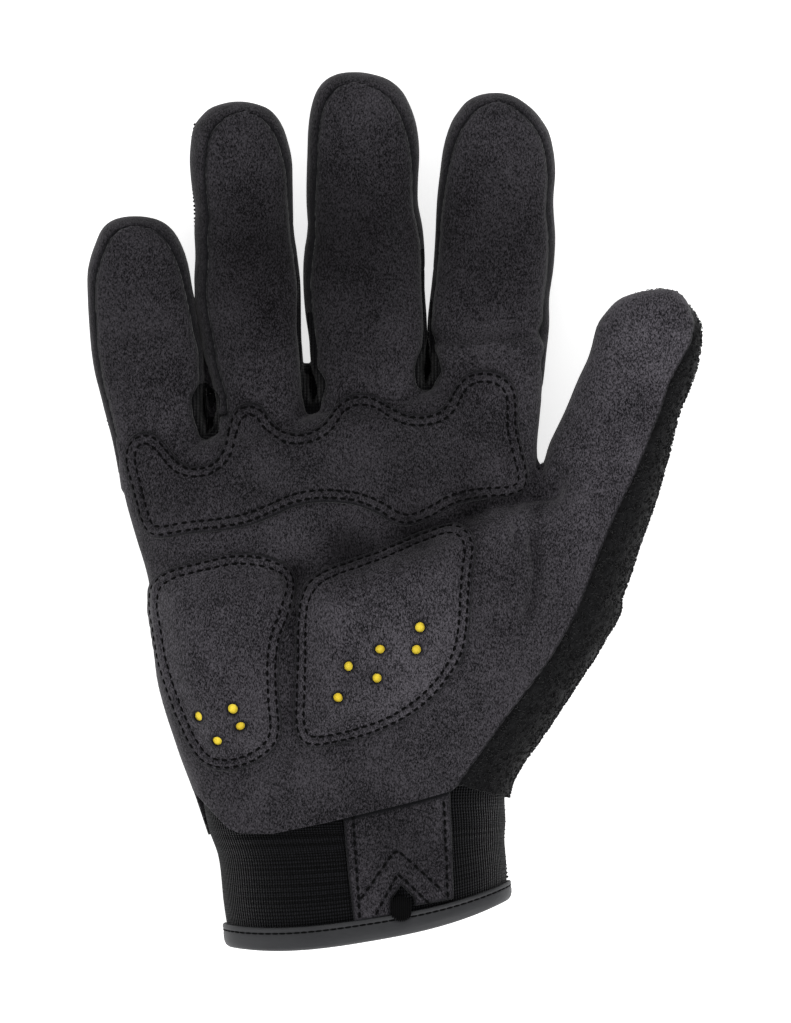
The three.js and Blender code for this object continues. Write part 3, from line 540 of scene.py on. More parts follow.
def loft(rings):
    """A closed skin over rings of as many points each, with a fan to each end ring's middle."""
    rows, count = rings.shape[:2]
    points = np.vstack([rings.reshape(-1, 3), rings[0].mean(0), rings[-1].mean(0)])
    row, k = grid_places(rows - 1, count)
    a = row * count + k
    b = row * count + (k + 1) % count
    k = np.arange(count)
    following = (k + 1) % count
    start, end = np.full(count, rows * count), np.full(count, rows * count + 1)
    last = (rows - 1) * count
    faces = np.vstack([
        np.stack([a, b, b + count], 1), np.stack([a, b + count, a + count], 1),
        np.stack([start, following, k], 1), np.stack([end, last + k, last + following], 1)])
    return points, outward(points, faces)


def together(parts):
    """Several meshes' arrays as one."""
    points = np.vstack([part[0] for part in parts])
    starts = np.cumsum([0] + [len(part[0]) for part in parts[:-1]])
    return points, np.vstack([part[1] + start for part, start in zip(parts, starts)])


def sections(left, right, seam, rise, drop, top_power, back_power, count=72):
    """Rings across lines from left to right in plan. Each is a superellipse with its own height
    over and under the seam: |side|^power + |up|^power = 1."""
    angle = np.arange(count) * math.tau / count
    power = np.where(np.sin(angle) >= 0, top_power, back_power)
    side = np.sign(np.cos(angle)) * np.abs(np.cos(angle)) ** (2 / power)
    up = np.sign(np.sin(angle)) * np.abs(np.sin(angle)) ** (2 / power)
    plan = ((left + right)[:, None] + side[None, :, None] * (right - left)[:, None]) / 2
    tall = np.where(up >= 0, rise[:, None], drop[:, None])
    return np.concatenate([plan, (seam[:, None] + tall * up)[..., None]], -1)


def fused(parts, voxel):
    """One skin round several closed forms that run into each other, remeshed."""
    points, faces = together(parts)
    mesh = bpy.data.meshes.new("form")
    mesh.from_pydata(points.tolist(), [], faces.tolist())
    form = bpy.data.objects.new("form", mesh)
    bpy.context.scene.collection.objects.link(form)
    remesh = form.modifiers.new("remesh", "REMESH")
    remesh.mode = "VOXEL"
    remesh.voxel_size = voxel
    made = form.evaluated_get(bpy.context.evaluated_depsgraph_get()).to_mesh()
    made.calc_loop_triangles()
    points = np.empty(len(made.vertices) * 3)
    made.vertices.foreach_get("co", points)
    faces = np.empty(len(made.loop_triangles) * 3, int)
    made.loop_triangles.foreach_get("vertices", faces)
    bpy.data.objects.remove(form)
    return points.reshape(-1, 3), faces.reshape(-1, 3)


# Forms of the hand. Each finger's outline is given in pixels: how far below its tip a row is, and
# how far the edges lie left and right of the tip there. Inset is how far in from the left, the
# right and the tip the front piece's seam runs, and closes is the side where that seam comes
# nearest to the edge. Lean, in degrees, and side, width and length, in millimetres, are those of
# the finger's own line.

FINGERS = {
    "little": {
        "tip": (134, 215), "depth": (0, 4, 13, 27, 41, 55, 83, 111, 139, 160, 175, 195, 225, 275),
        "left": (0, -22, -33, -39.5, -44.5, -47.5, -47.5, -46, -43.5, -40, -36, -31, -23, -14),
        "right": (0, 24, 37, 46, 51.5, 55, 59.5, 63.5, 67.5, 68.5, 68, 69, 72, 74),
        "rise": 10.5, "drop": 10.0, "inset": (10, 8, 8), "closes": "right",
        "lean": 6.0, "side": -48.2, "width": 29.8, "length": 65.5},
    "ring": {
        "tip": (238.5, 100.5),
        "depth": (0, 2, 7, 13, 25, 43, 57, 85, 113, 127, 155, 183, 211, 239, 253, 285, 330),
        "left": (0, -15, -29, -36, -45, -48.5, -49.5, -47.5, -44, -45, -44, -45.5, -42.5, -37,
                 -35, -26, -22),
        "right": (0, 15, 29, 36, 44, 50, 53, 54, 54.5, 55, 59, 62, 62.5, 63, 64, 66, 70),
        "rise": 11.0, "drop": 10.5, "inset": (17, 7, 9), "closes": "right",
        "lean": 3.7, "side": -18.2, "width": 29.2, "length": 92.0},
    "middle": {
        "tip": (354, 71), "depth": (0, 2, 7, 13, 19, 31, 55, 80, 115, 129, 157, 185, 213, 241,
                                    269, 290, 328, 370),
        "left": (0, -16, -27, -33.5, -37.5, -42, -46, -47, -48, -48, -47, -51, -51.5, -49.5,
                 -45.5, -44, -36, -30),
        "right": (0, 17, 33, 42, 48, 55, 63, 65.5, 64, 64, 69, 71, 71, 72, 72, 71, 73, 74),
        "rise": 11.5, "drop": 11.0, "inset": (10, 9, 11), "closes": "right",
        "lean": 1.2, "side": 13.4, "width": 33.0, "length": 93.5},
    "index": {
        "tip": (496, 91.5), "depth": (0, 4.5, 10.5, 16.5, 28.5, 38.5, 52.5, 80, 108, 150, 178,
                                      206, 234, 262, 290, 318, 350),
        "left": (0, -22, -31, -36, -44, -48, -52, -56, -59, -61, -63, -66, -67.5, -66, -66,
                 -64, -62),
        "right": (0, 20, 29.5, 37, 47, 53, 57, 60, 58, 60, 58, 54, 54, 51, 48, 44, 40),
        "rise": 11.5, "drop": 11.0, "inset": (9, 7, 8), "closes": "left",
        "lean": -3.2, "side": 46.75, "width": 32.7, "length": 81.0},
}
# Rows of pixels down each gap where two neighbouring fingers all but touch. At those rows both
# edges keep back by the eased pixels until the forms are fused. Afterwards they close up again,
# by a little more towards the palm, where the photographed gap is a thin line.
EASE_ROWS = [(258, 288, 304, 348, 368), (222, 246, 300, 346, 366), (268, 292, 314, 334, 350)]
EASED = [(0.0, 5.2, 5.2, 5.2, 0.0)] * 3
CLOSING = [(0.0, 4.8, 6.2, 6.6, 0.0), (0.0, 4.9, 4.9, 4.9, 0.0), (0.0, 4.9, 5.9, 6.6, 0.0)]
# The gussets between the fingers: where each starts, its end at the palm, and half its width
GUSSETS = [((199, 352), (205, 440), 9.0), ((307, 362), (312, 415), 9.0),
           ((427, 334), (426, 396), 8.0)]
# The thumb's outline, in pixels down from its tip and to both sides of that line
THUMB = {
    "tip": (676, 290), "lean": math.radians(18.5),
    "depth": (0, 5, 14, 25, 42, 59, 73, 88, 118, 149, 180, 211, 250, 290, 345),
    "left": (0, -19, -36, -50, -59, -63.5, -62.5, -61.5, -64.5, -66.5, -70.5, -75, -78, -78,
             -66),
    "right": (0, 12, 25, 35, 41, 44, 45, 44.5, 43, 45.5, 47.5, 48.5, 47.5, 48, 44),
    "rise": (0.62, 0.62, 0.62, 0.62, 0.63, 0.64, 0.65, 0.67, 0.72, 0.77, 0.83, 0.88, 0.94,
             1.0, 1.0)}
THUMB_RISE = 17.0
THUMB_DROP = 11.2
CROTCH = np.array([539.0, 469.0])
# How the crotch narrows: the middle of the change, its reach across and along, and its size
CROTCH_BEND = (542.7, 456.3)
CROTCH_REACH = (7.0, 13.5)
CROTCH_PULL = 9.0

# Rows across the palm, from its wrist to where the webs start to round
PALM_LEFT = np.array([(213, 852), (206, 833), (192.5, 793), (176.5, 750), (158, 690),
                      (151.5, 640), (148, 585), (134.5, 537), (127, 511), (120.5, 485.5)], float)
PALM_RIGHT = np.array([(508, 838), (509, 819), (514, 781), (548, 730), (577, 686), (604, 643),
                       (621, 595), (566, 518), (539, 469), (542.5, 395.7)], float)
PALM_RISES = np.array([0.84, 0.86, 0.86, 0.92, 1.0, 1.0, 0.97, 0.87, 0.76, 0.62]) * PALM_RISE
PALM_DROPS = np.array([1.27, 1.25, 1.2, 1.05, 1, 1, 1, 1, 1, 1]) * BACK_DROP


def past_web(plan):
    """Distance past the web line, along the fingers."""
    return (plan - WEB_MIDDLE) @ WEB_AHEAD


def curl_at(plan):
    """Rise of the fingers' middle: the square of the share of the longest finger's length."""
    return FINGER_CURL * (np.maximum(past_web(plan), 0) / LONGEST_FINGER) ** 2


THUMB_AHEAD = np.array([math.sin(THUMB["lean"]), math.cos(THUMB["lean"])])
THUMB_ACROSS = np.array([math.cos(THUMB["lean"]), -math.sin(THUMB["lean"])])
CROTCH_Y = on_photo(CROTCH)[1]
THUMB_TIP = on_photo(THUMB["tip"])


def thumb_lift_at(plan):
    """Rise of the thumb's middle, in a straight line from the crotch to its tip."""
    run = THUMB_TIP[1] - CROTCH_Y
    return THUMB_LIFT * np.maximum((plan[..., 1] - CROTCH_Y) / run, 0)


def round_end(depth, radius):
    """Height of a round tip: a quarter circle over the radius, then 1."""
    near = np.clip(1 - depth / radius, 0, 1)
    return np.sqrt(1 - near * near)


def edge_tables(shape, depth, reach=(0, 0)):
    """Both edges at a depth below the tip, smooth over the depth's root so that tips are round,
    drawn in by a reach on either side."""
    knots = np.sqrt(shape["depth"])
    at = np.sqrt(np.maximum(depth, 0))
    return (through(knots, shape["left"], at) + reach[0],
            through(knots, shape["right"], at) - reach[1])


def tip_depths(end, count=46):
    """Depths that crowd together at the tip: squares of equal steps."""
    return end * np.linspace(0.03, 1, count) ** 2


def eases(name, rows, amounts):
    """The amounts on a finger's left and on its right, in pixels, in between the gaps' rows."""
    k = list(FINGERS).index(name)
    return [np.interp(rows, EASE_ROWS[gap], amounts[gap]) if 0 <= gap < len(EASE_ROWS)
            else np.zeros(np.shape(rows)) for gap in (k - 1, k)]


def finger_form(name):
    """Sections straight across the picture, down from the tip."""
    shape = FINGERS[name]
    x, y = shape["tip"]
    depth = tip_depths(shape["depth"][-1], 64)
    left, right = edge_tables(shape, depth, eases(name, y + depth, EASED))
    plan = [on_photo(np.stack([x + side, y + depth], -1)) for side in (left, right)]
    squeeze = round_end(depth * PIXEL, shape["width"] * 0.42)
    seam = SEAM + curl_at((plan[0] + plan[1]) / 2)
    return loft(sections(*plan, seam, shape["rise"] * squeeze, shape["drop"] * squeeze, 2.3, 2.3))


def gusset_form(start, end, half):
    """A tongue in the gap between two fingers: low sections from its tip down to the palm."""
    share = np.linspace(0, 1, 16)
    middle = np.outer(1 - share, start) + np.outer(share, end)
    reach = half * (0.55 + 0.45 * np.sqrt(share))
    plan = [on_photo(middle + np.stack([side * reach, 0 * reach], -1)) for side in (-1, 1)]
    squeeze = np.sqrt(np.minimum(share * 5 + 0.05, 1))
    seam = SEAM - 4.0 + curl_at((plan[0] + plan[1]) / 2)
    return loft(sections(*plan, seam, 3.0 * squeeze + 3.0 * share, 4.0 * squeeze, 2.3, 2.3))


def closed_up(points):
    """Fingers moved back towards their neighbours after fusing. In each row the shift is known at
    every finger's middle, where it is 0, and at its edges, and runs straight between those."""
    pixels = to_pixels(points[:, :2])
    rows = pixels[:, 1]
    knots, shifts = [np.full(len(rows), -FAR)], [np.zeros(len(rows))]
    for name, shape in FINGERS.items():
        depth = rows - shape["tip"][1]
        back = eases(name, rows, CLOSING)
        left, right = edge_tables(shape, depth, eases(name, rows, EASED))
        x = shape["tip"][0]
        knots += [x + left, x + (left + right) / 2, x + right]
        shifts += [-back[0], 0 * rows, back[1]]
    knots.append(np.full(len(rows), FAR))
    shifts.append(np.zeros(len(rows)))
    moved = np.zeros(len(rows))
    for k in range(len(knots) - 1):
        share = np.clip((pixels[:, 0] - knots[k]) / np.maximum(knots[k + 1] - knots[k], 0.1), 0, 1)
        within = (pixels[:, 0] >= knots[k]) & (pixels[:, 0] < knots[k + 1])
        moved = np.where(within, shifts[k] * (1 - share) + shifts[k + 1] * share, moved)
    points = points.copy()
    points[:, 0] += moved * PIXEL
    return points


def thumb_form():
    """Sections across the thumb's own line, down from its tip."""
    depth = tip_depths(THUMB["depth"][-1])
    left, right = edge_tables(THUMB, depth)
    middle = THUMB_TIP - depth[:, None] * PIXEL * THUMB_AHEAD
    plan = [middle + side[:, None] * PIXEL * THUMB_ACROSS for side in (left, right)]
    tall = through(THUMB["depth"], THUMB["rise"], depth) * round_end(depth * PIXEL, 13.0)
    seam = SEAM + thumb_lift_at(middle)
    return loft(sections(*plan, seam, THUMB_RISE * tall, THUMB_DROP * tall, 2.3, 2.6))


def narrowed_crotch(points):
    """The round between index and thumb drawn down into a narrow angle: places near its middle
    move towards the wrist by a bell of their distance across, times one of that along."""
    x, y = to_pixels(points[:, :2]).T
    share = (bell(x - CROTCH_BEND[0], CROTCH_REACH[0])
             * bell(y - CROTCH_BEND[1], CROTCH_REACH[1]))
    moved = points.copy()
    moved[:, 1] -= CROTCH_PULL * PIXEL * share
    return moved


def palm_form():
    """Sections across the palm's rows, then two quarter rounds that close it at the webs."""
    at = np.linspace(0, len(PALM_LEFT) - 1, 90)
    rows = np.arange(len(PALM_LEFT))
    left, right = (on_photo(np.stack([through(rows, side[:, k], at) for k in (0, 1)], -1))
                   for side in (PALM_LEFT, PALM_RIGHT))
    rise, drop = (through(rows, table, at) for table in (PALM_RISES, PALM_DROPS))
    angle = np.linspace(0, math.pi / 2, 14)[1:]
    left = np.vstack([left, left[-1] + WEB_ROUND * np.sin(angle)[:, None] * WEB_AHEAD])
    right = np.vstack([right, right[-1] + WEB_ROUND * np.sin(angle)[:, None] * WEB_AHEAD])
    squeeze = np.maximum(np.cos(angle), 0.02)
    rise = np.r_[rise, rise[-1] * squeeze]
    drop = np.r_[drop, drop[-1] * squeeze]
    return loft(sections(left, right, np.full(len(left), SEAM), rise, drop, 2.6, 4.0))


# Relief of the palm: mounds, and folds that run along lines. Places are pixels, heights and
# reaches millimetres.
MOUNDS = [((445, 645), 3.2, 24.0), ((215, 668), 2.0, 22.0), ((330, 455), 1.2, 20.0),
          ((495, 520), 1.2, 7.0)]
FOLDS = [
    ([(548, 486), (505, 497), (455, 517), (400, 540), (340, 555), (292, 575)], -4.2, 6.0),
    ([(545, 488), (500, 499), (440, 523)], -1.6, 3.0),
    ([(292, 566), (297, 610), (290, 680), (290, 745)], -2.2, 4.2),
    ([(436, 340), (480, 333), (551, 332)], -1.7, 2.6),
    ([(444, 351), (485, 345), (540, 346)], 1.0, 2.0),
    ([(438, 372), (480, 362), (540, 362)], -0.7, 2.5),
    ([(534, 500), (520, 514), (506, 530)], 1.3, 1.5),
    ([(514, 524), (516, 540)], -1.8, 1.5),
    ([(533, 538), (537, 570), (533, 598), (526, 614)], -2.0, 1.7),
    ([(542, 541), (546, 570), (541, 598)], 1.2, 2.0),
    ([(120, 545), (180, 560), (250, 545)], -1.0, 5.0),
    ([(560, 470), (548, 500), (552, 540)], -0.7, 4.0),
    ([(300, 330), (250, 322), (205, 330)], -0.35, 4.0),
    ([(424, 262), (370, 270), (306, 262)], -0.35, 4.0),
    ([(690, 372), (640, 385), (590, 372)], -0.4, 4.5),
]
# Slots between the fingers, where the black gussets show: lines of pixels with half widths
SLOTS = [
    ([(203, 386), (206, 401), (206, 413), (206, 423), (205, 432)], (4.0, 14.5, 13.0, 10.0, 6.5)),
    ([(308, 367), (312, 377), (314, 385), (313, 395), (311, 401)], (5.0, 9.5, 12.0, 10.5, 6.5)),
    ([(427, 349), (428, 359), (427, 368), (425, 377), (424, 381)], (4.0, 9.5, 11.5, 9.5, 8.0)),
]
SLOT_DEPTH = 9.0
SLOT_WALL = 2.8  # how far in from its edge a slot takes to reach its depth
NEAR_WEB = (-15, 40)  # how far ahead of the web line the slots lie
# The skin's gentle unevenness: height, size and the seed of its waves
UNEVENNESS = ((0.35, 26.0, 4), (0.12, 8.0, 9))
GROOVE_DEPTH = 0.55
GROOVE_REACH = 0.75


def weave_of_waves(plan, size, seed):
    """A gentle unevenness between -1 and 1: a sum of sine waves in seeded directions."""
    random = np.random.default_rng(seed)
    total = np.zeros(len(plan))
    for _ in range(9):
        angle, phase = random.uniform(0, math.tau, 2)
        length = size * random.uniform(0.6, 1.7)
        total += np.sin(plan @ np.array([math.cos(angle), math.sin(angle)]) * math.tau / length
                        + phase)
    return total / 4.5


def palm_relief(plan):
    """Sum of bells round the mounds' middles and the folds' lines."""
    height = np.zeros(len(plan))
    for middle, tall, reach in MOUNDS:
        height += tall * bell(np.linalg.norm(plan - on_photo(middle), axis=1), reach)
    for line, tall, reach in FOLDS:
        height += tall * bell(distance_to_line(plan, on_photo(line)), reach)
    return height


# How the suede's tone changes, nap tone with painted shade in the folds' valleys and down the
# fingers, and painted highlights on the thumb, the pads and a mound: a place, the change there, and
# its reach in millimetres
NAP_TONE_AND_PAINTED_LIGHT = [((250, 250), -0.54, 24.0), ((355, 235), -0.6, 27.0), ((500, 250), -0.4, 25.0),
           ((115, 330), -0.24, 22.0),
           ((240, 350), -0.2, 14.0), ((350, 350), -0.3, 16.0), ((395, 640), 0.45, 20.0),
           ((215, 650), 0.12, 18.0), ((655, 330), 0.8, 19.0), ((600, 440), 0.42, 26.0),
           ((560, 540), 0.2, 16.0), ((430, 480), -0.15, 14.0), ((470, 506), -0.6, 6.0),
           ((415, 534), -0.65, 7.5), ((350, 551), -0.7, 9.0), ((292, 578), -0.4, 7.0),
           ((290, 700), -0.15, 6.0), ((400, 850), -0.3, 14.0), ((500, 515), 0.25, 6.0)]
NAP_TONE = 0.55


def nap_tone_and_painted_light(plan):
    """Share of the suede's full tone, nap tone with painted shade and painted highlights: the plain
    share times 1 + change * bell for each listed place."""
    tone = np.full(len(plan), NAP_TONE)
    for middle, change, reach in NAP_TONE_AND_PAINTED_LIGHT:
        tone *= 1 + change * bell(np.linalg.norm(plan - on_photo(middle), axis=1), reach)
    return np.clip(tone, 0, 1)


def slot_field(plan, slot):
    """Depth inside a slot: its half width, which changes along its line, less the distance."""
    line, halves = slot
    line = on_photo(line)
    fine = even_steps(line, 0.6)
    lengths = np.r_[0, np.cumsum(np.linalg.norm(np.diff(line, axis=0), axis=1))]
    at = np.linspace(0, lengths[-1], len(fine))
    radius = np.interp(at, lengths, np.array(halves) * PIXEL)
    away = np.linalg.norm(plan[:, None] - fine[None], axis=-1)
    return (radius[None] - away).max(1)


def slots_at(points, ahead):
    """The greatest depth inside any slot, worked out only near the web line and over the seam."""
    near = (ahead > NEAR_WEB[0]) & (ahead < NEAR_WEB[1]) & (points[:, 2] > SEAM - 2)
    depth = np.full(len(points), -50.0)
    depth[near] = np.max([slot_field(points[near, :2], slot) for slot in SLOTS], 0)
    return depth


# Seams of the panels, in pixels
TERRY_SEAM = [(700, 290), (691, 302), (697, 323), (693, 343), (671, 384), (658, 419), (636, 475),
              (616, 516), (601, 551), (577, 614), (550, 659), (507, 715), (459, 784), (430, 830)]
BACK_SEAM = [(600, 150), (539, 469), (500, 560), (470, 680), (450, 797), (438, 860)]
HEM = [(150, 770), (193, 792), (212, 812), (228, 828), (240, 833), (273, 833), (330, 821),
       (378, 809), (417, 800), (452, 790), (459, 784), (480, 791), (507, 796), (560, 800)]
BACK_HEM = [(193, 838), (507, 799)]
FRONT_OVERRUN = 4.0  # the palm's and the thumb's fronts are one piece, and overlap by this
# The side strips widen ahead of the web line, to this far over and under the fingers' middle
STRIP_OVER = 4
STRIP_UNDER = 6
FRONT_FADE = {True: 0.85, False: 0.3}  # by whether it is the side where a front's seam closes in


def row_value(line, plan):
    """X of a seam that runs down the picture, at the places' rows."""
    line = on_photo(line)[::-1]
    return np.interp(plan[:, 1], line[:, 1], line[:, 0])


def finger_front(shape, plan):
    """Depth inside the front piece of a finger: its outline drawn in to the seam, which comes
    nearer to the edge towards the palm."""
    left_inset, right_inset, tip_inset = shape["inset"]
    pixels = to_pixels(plan)
    depth = pixels[:, 1] - shape["tip"][1] - tip_inset
    share = smooth_share(depth / shape["depth"][-1] * 2)
    left_fade, right_fade = (1 - FRONT_FADE[side == shape["closes"]] * share
                             for side in ("left", "right"))
    left, right = edge_tables(shape, depth, (left_inset * left_fade, right_inset * right_fade))
    x = pixels[:, 0] - shape["tip"][0]
    inside = np.minimum(x - left, right - x)
    return np.where(depth > 0, inside, -10 + depth) * PIXEL


def panel_fields(points):
    """Depth inside each panel of the skin, and inside the slots: the seams' own fields, combined
    by the least where all must hold and by the greatest where any one may."""
    plan, z = points[:, :2], points[:, 2]
    ahead = past_web(plan)
    opening = smooth_share((ahead + WEB_ROUND) / WEB_ROUND)
    middle = SEAM + curl_at(plan)
    over_strip = z - middle - STRIP_OVER * opening
    under_strip = middle - STRIP_UNDER * opening - z
    over_thumb_seam = z - SEAM - thumb_lift_at(plan)
    thumb_side = plan[:, 0] - row_value([(600, 150), tuple(CROTCH), (539, 900)], plan)
    right_of_terry = plan[:, 0] - row_value(TERRY_SEAM, plan)
    right_of_back = plan[:, 0] - row_value(BACK_SEAM, plan)
    fronts = np.max([finger_front(shape, plan) for shape in FINGERS.values()], 0)
    in_front = np.maximum(fronts, 4 - ahead)
    slots = slots_at(points, ahead)
    terry_part = np.maximum(right_of_terry, np.minimum(right_of_back, -over_thumb_seam))
    fingers_part = np.min([over_strip, in_front, -slots, FRONT_OVERRUN - thumb_side], 0)
    front = np.maximum(np.minimum(over_thumb_seam, thumb_side + FRONT_OVERRUN), fingers_part)
    palm = np.minimum(-terry_part, front)
    back = np.min([-terry_part, under_strip, -thumb_side], 0)
    band = np.min([-terry_part, -thumb_side, -under_strip, -front], 0)
    return {"palm": palm, "terry": terry_part, "back": back, "band": band}, slots


def hand_skin():
    """The whole skin: forms fused, relief on the palm side, slots sunk, seams drawn in."""
    voxel = 0.86
    forms = [palm_form(), thumb_form()] + [finger_form(name) for name in FINGERS]
    forms += [gusset_form(*gusset) for gusset in GUSSETS]
    points, faces = fused(forms, voxel)
    points = narrowed_crotch(closed_up(relax(points, faces, 6)))
    fields, slots = panel_fields(points)
    normals = corner_normals(points, faces)
    plan = points[:, :2]
    facing = smooth_share(normals[:, 2] * 1.6)
    height = palm_relief(plan)
    for tall, size, seed in UNEVENNESS:
        height = height + tall * weave_of_waves(plan, size, seed)
    points = points + normals * (height * facing)[:, None]
    points[:, 2] -= SLOT_DEPTH * smooth_share(slots / SLOT_WALL) * (points[:, 2] > SEAM)
    seam = np.max(list(fields.values()), 0)
    points = points - normals * (GROOVE_DEPTH * bell(seam, GROOVE_REACH))[:, None]
    # The seam layer also draws the suede near-black along the seams: painted shade in the grooves,
    # with flattened nap.
    return points, faces, {**fields, "slots": slots, "seam": np.clip(seam, 0, 6)}


points, faces, layers = hand_skin()


def neighbours(grid):
    """At each place of a grid, the sum of the four places next to it."""
    return sum(np.roll(grid, shift, axis) for shift in (-1, 1) for axis in (0, 1))


class Side:
    """One side of the skin as heights on a square grid, for what lies on it."""

    def __init__(self, points, faces, sign, cell=1.0):
        normals = corner_normals(points, faces)
        shown = normals[:, 2] * sign > 0.12
        self.sign = sign
        self.cell = cell
        self.low = points[:, :2].min(0) - 2 * cell
        size = np.ceil((points[:, :2].max(0) + 2 * cell - self.low) / cell).astype(int) + 1
        index = np.rint((points[shown, :2] - self.low) / cell).astype(int)
        flat = index[:, 0] * size[1] + index[:, 1]
        count = np.bincount(flat, minlength=size.prod()).reshape(size).astype(float)
        total = np.bincount(flat, points[shown, 2], size.prod()).reshape(size)
        self.grid = self.filled(total, count)

    @staticmethod
    def filled(total, count):
        """Means of the cells that have points, spread outwards into those that have none, and
        evened out twice."""
        known = count > 0
        grid = np.where(known, total / np.maximum(count, 1), 0.0)
        for _ in range(30):
            near = neighbours(known.astype(float))
            fill = ~known & (near > 0)
            grid = np.where(fill, neighbours(grid * known) / np.maximum(near, 1), grid)
            known = known | fill
        for _ in range(2):
            grid = 0.5 * grid + 0.5 * (neighbours(grid) / 4)
        return grid

    def height(self, plan):
        """Height between four grid points, in straight proportion."""
        at = (plan - self.low) / self.cell
        at = np.clip(at, 0, np.array(self.grid.shape) - 1.001)
        i, j = at.astype(int).T
        u, v = (at - at.astype(int)).T
        g = self.grid
        return (g[i, j] * (1 - u) * (1 - v) + g[i + 1, j] * u * (1 - v)
                + g[i, j + 1] * (1 - u) * v + g[i + 1, j + 1] * u * v)

    def normal(self, plan):
        """Unit normal, from the heights one cell away on either side."""
        step = self.cell
        slope = [(self.height(plan + d) - self.height(plan - d)) / (2 * step)
                 for d in (np.array([step, 0]), np.array([0, step]))]
        normal = np.stack([-slope[0], -slope[1], np.ones(len(plan))], -1) * self.sign
        return unit(normal)

    def place(self, plan, lift):
        """Places over the side, at a distance along its normal."""
        base = np.concatenate([plan, self.height(plan)[:, None]], 1)
        return base + self.normal(plan) * np.broadcast_to(lift, len(plan))[:, None]


def patch(outline, margin, side, lift, holes=(), spacing=0.5, foot=-0.5):
    """A sheet on a side, inside an outline widened by a margin: a square grid, clipped where the
    depth is zero, raised by lift(depth inside the outline, place), and closed underneath."""
    spacing = spacing * 1
    low, high = outline.min(0) - margin - spacing, outline.max(0) + margin + spacing
    x, y = (np.arange(a, b, spacing) for a, b in zip(low, high))
    plan = np.stack(np.meshgrid(x, y, indexing="ij"), -1).reshape(-1, 2)
    rows, columns = len(x), len(y)
    i, j = grid_places(rows - 1, columns - 1)
    a = i * columns + j
    b = a + columns
    faces = np.vstack([np.stack([a, b, b + 1], 1), np.stack([a, b + 1, a + 1], 1)])
    depth = inside_depth(plan, outline)
    field = depth + margin
    for middle, radius in holes:
        field = np.minimum(field, np.linalg.norm(plan - middle, axis=1) - radius)
    flat = np.concatenate([plan, depth[:, None]], 1)
    # The seam layer is the depth inside the edge and round the holes; suede is drawn dark near it,
    # painted shade at the rim and round the holes.
    flat, faces, layers = clip(flat, faces, field, {"seam": field})
    plan, depth = flat[:, :2], flat[:, 2]
    top = side.place(plan, lift(depth, plan))
    bottom = side.place(plan, foot)
    count = len(top)
    pairs = np.vstack([faces[:, [0, 1]], faces[:, [1, 2]], faces[:, [2, 0]]])
    keys = pairs[:, 0] * count + pairs[:, 1]
    single = ~np.isin(keys, pairs[:, 1] * count + pairs[:, 0])
    p, q = pairs[single].T
    faces = np.vstack([faces, faces[:, ::-1] + count, np.stack([q, p, p + count], 1),
                       np.stack([q, p + count, q + count], 1)])
    points = np.vstack([top, bottom])
    return points, outward(points, faces), {"seam": np.tile(layers["seam"], 2)}


def rolled(depth, thick, radius):
    """Thickness near an edge: a quarter round from a third of it up to all of it."""
    near = np.clip(1 - depth / radius, 0, 1)
    return thick * (0.35 + 0.65 * np.sqrt(1 - near * near))


def tube_faces(rings, count):
    """Triangles between rings of as many points each, ring after ring."""
    k = np.arange(count)
    following = (k + 1) % count
    return np.vstack([np.vstack([np.stack([k + s, following + s, following + s + count], 1),
                                 np.stack([k + s, following + s + count, k + s + count], 1)])
                      for s in range(0, (rings - 1) * count, count)])


# Stitches: a short thread, thick in its middle, along each step of a line

def thread_shape():
    """A unit stitch: rings of six points whose width follows a half circle, and two end points."""
    along = np.array([-0.42, -0.2, 0.2, 0.42])
    width = np.array([0.62, 1.0, 1.0, 0.62])
    angle = np.arange(6) * math.tau / 6
    ring = np.stack([np.cos(angle), np.sin(angle)], -1)
    points = np.vstack([np.column_stack([np.full(6, a), ring * w / 2])
                        for a, w in zip(along, width)])
    points = np.vstack([points, [-0.5, 0, 0], [0.5, 0, 0]])
    k = np.arange(6)
    following = (k + 1) % 6
    ends = [np.stack([np.full(6, 24), following, k], 1),
            np.stack([np.full(6, 25), 18 + k, 18 + following], 1)]
    return points, np.vstack([tube_faces(4, 6)] + ends)


STITCH_POINTS, STITCH_FACES = thread_shape()


def threads(origin, ahead, normal, size):
    """The unit stitch at each origin, scaled to a size and turned: its length lies ahead, its
    width across and its height along the normal."""
    across = np.cross(normal, ahead)
    scaled = STITCH_POINTS * np.array(size)
    points = (origin[:, None] + scaled[None, :, 0:1] * ahead[:, None]
              + scaled[None, :, 1:2] * across[:, None] + scaled[None, :, 2:3] * normal[:, None])
    faces = STITCH_FACES[None] + (np.arange(len(origin)) * len(STITCH_POINTS))[:, None, None]
    return points.reshape(-1, 3), faces.reshape(-1, 3)


def stitches(line, side, lift, pitch=2.5, length=1.75, width=0.72, closed=True):
    """A stitch at each step of a line: the unit stitch turned to the line's run and laid at a
    height over the side."""
    if closed:
        line = np.vstack([line, line[:1]])
    line = even_steps(line, pitch)
    middle = (line[1:] + line[:-1]) / 2
    run = unit(np.diff(line, axis=0))
    height = lift(middle) if callable(lift) else lift
    origin = side.place(middle, height)
    ahead = unit(side.place(middle + run * 0.5, height) - origin)
    return threads(origin, ahead, side.normal(middle), (length, width, width * 0.8))


def drawn_in(outline, distance):
    """A closed outline moved inwards along its normals, without the points that cross over."""
    run = unit(np.roll(outline, -1, 0) - np.roll(outline, 1, 0))
    x, y = outline.T
    area = (x * np.roll(y, -1) - np.roll(x, -1) * y).sum() / 2
    inward = np.stack([-run[:, 1], run[:, 0]], -1) * np.sign(area)
    moved = outline + inward * distance
    return moved[inside_depth(moved, outline) > distance * 0.96]


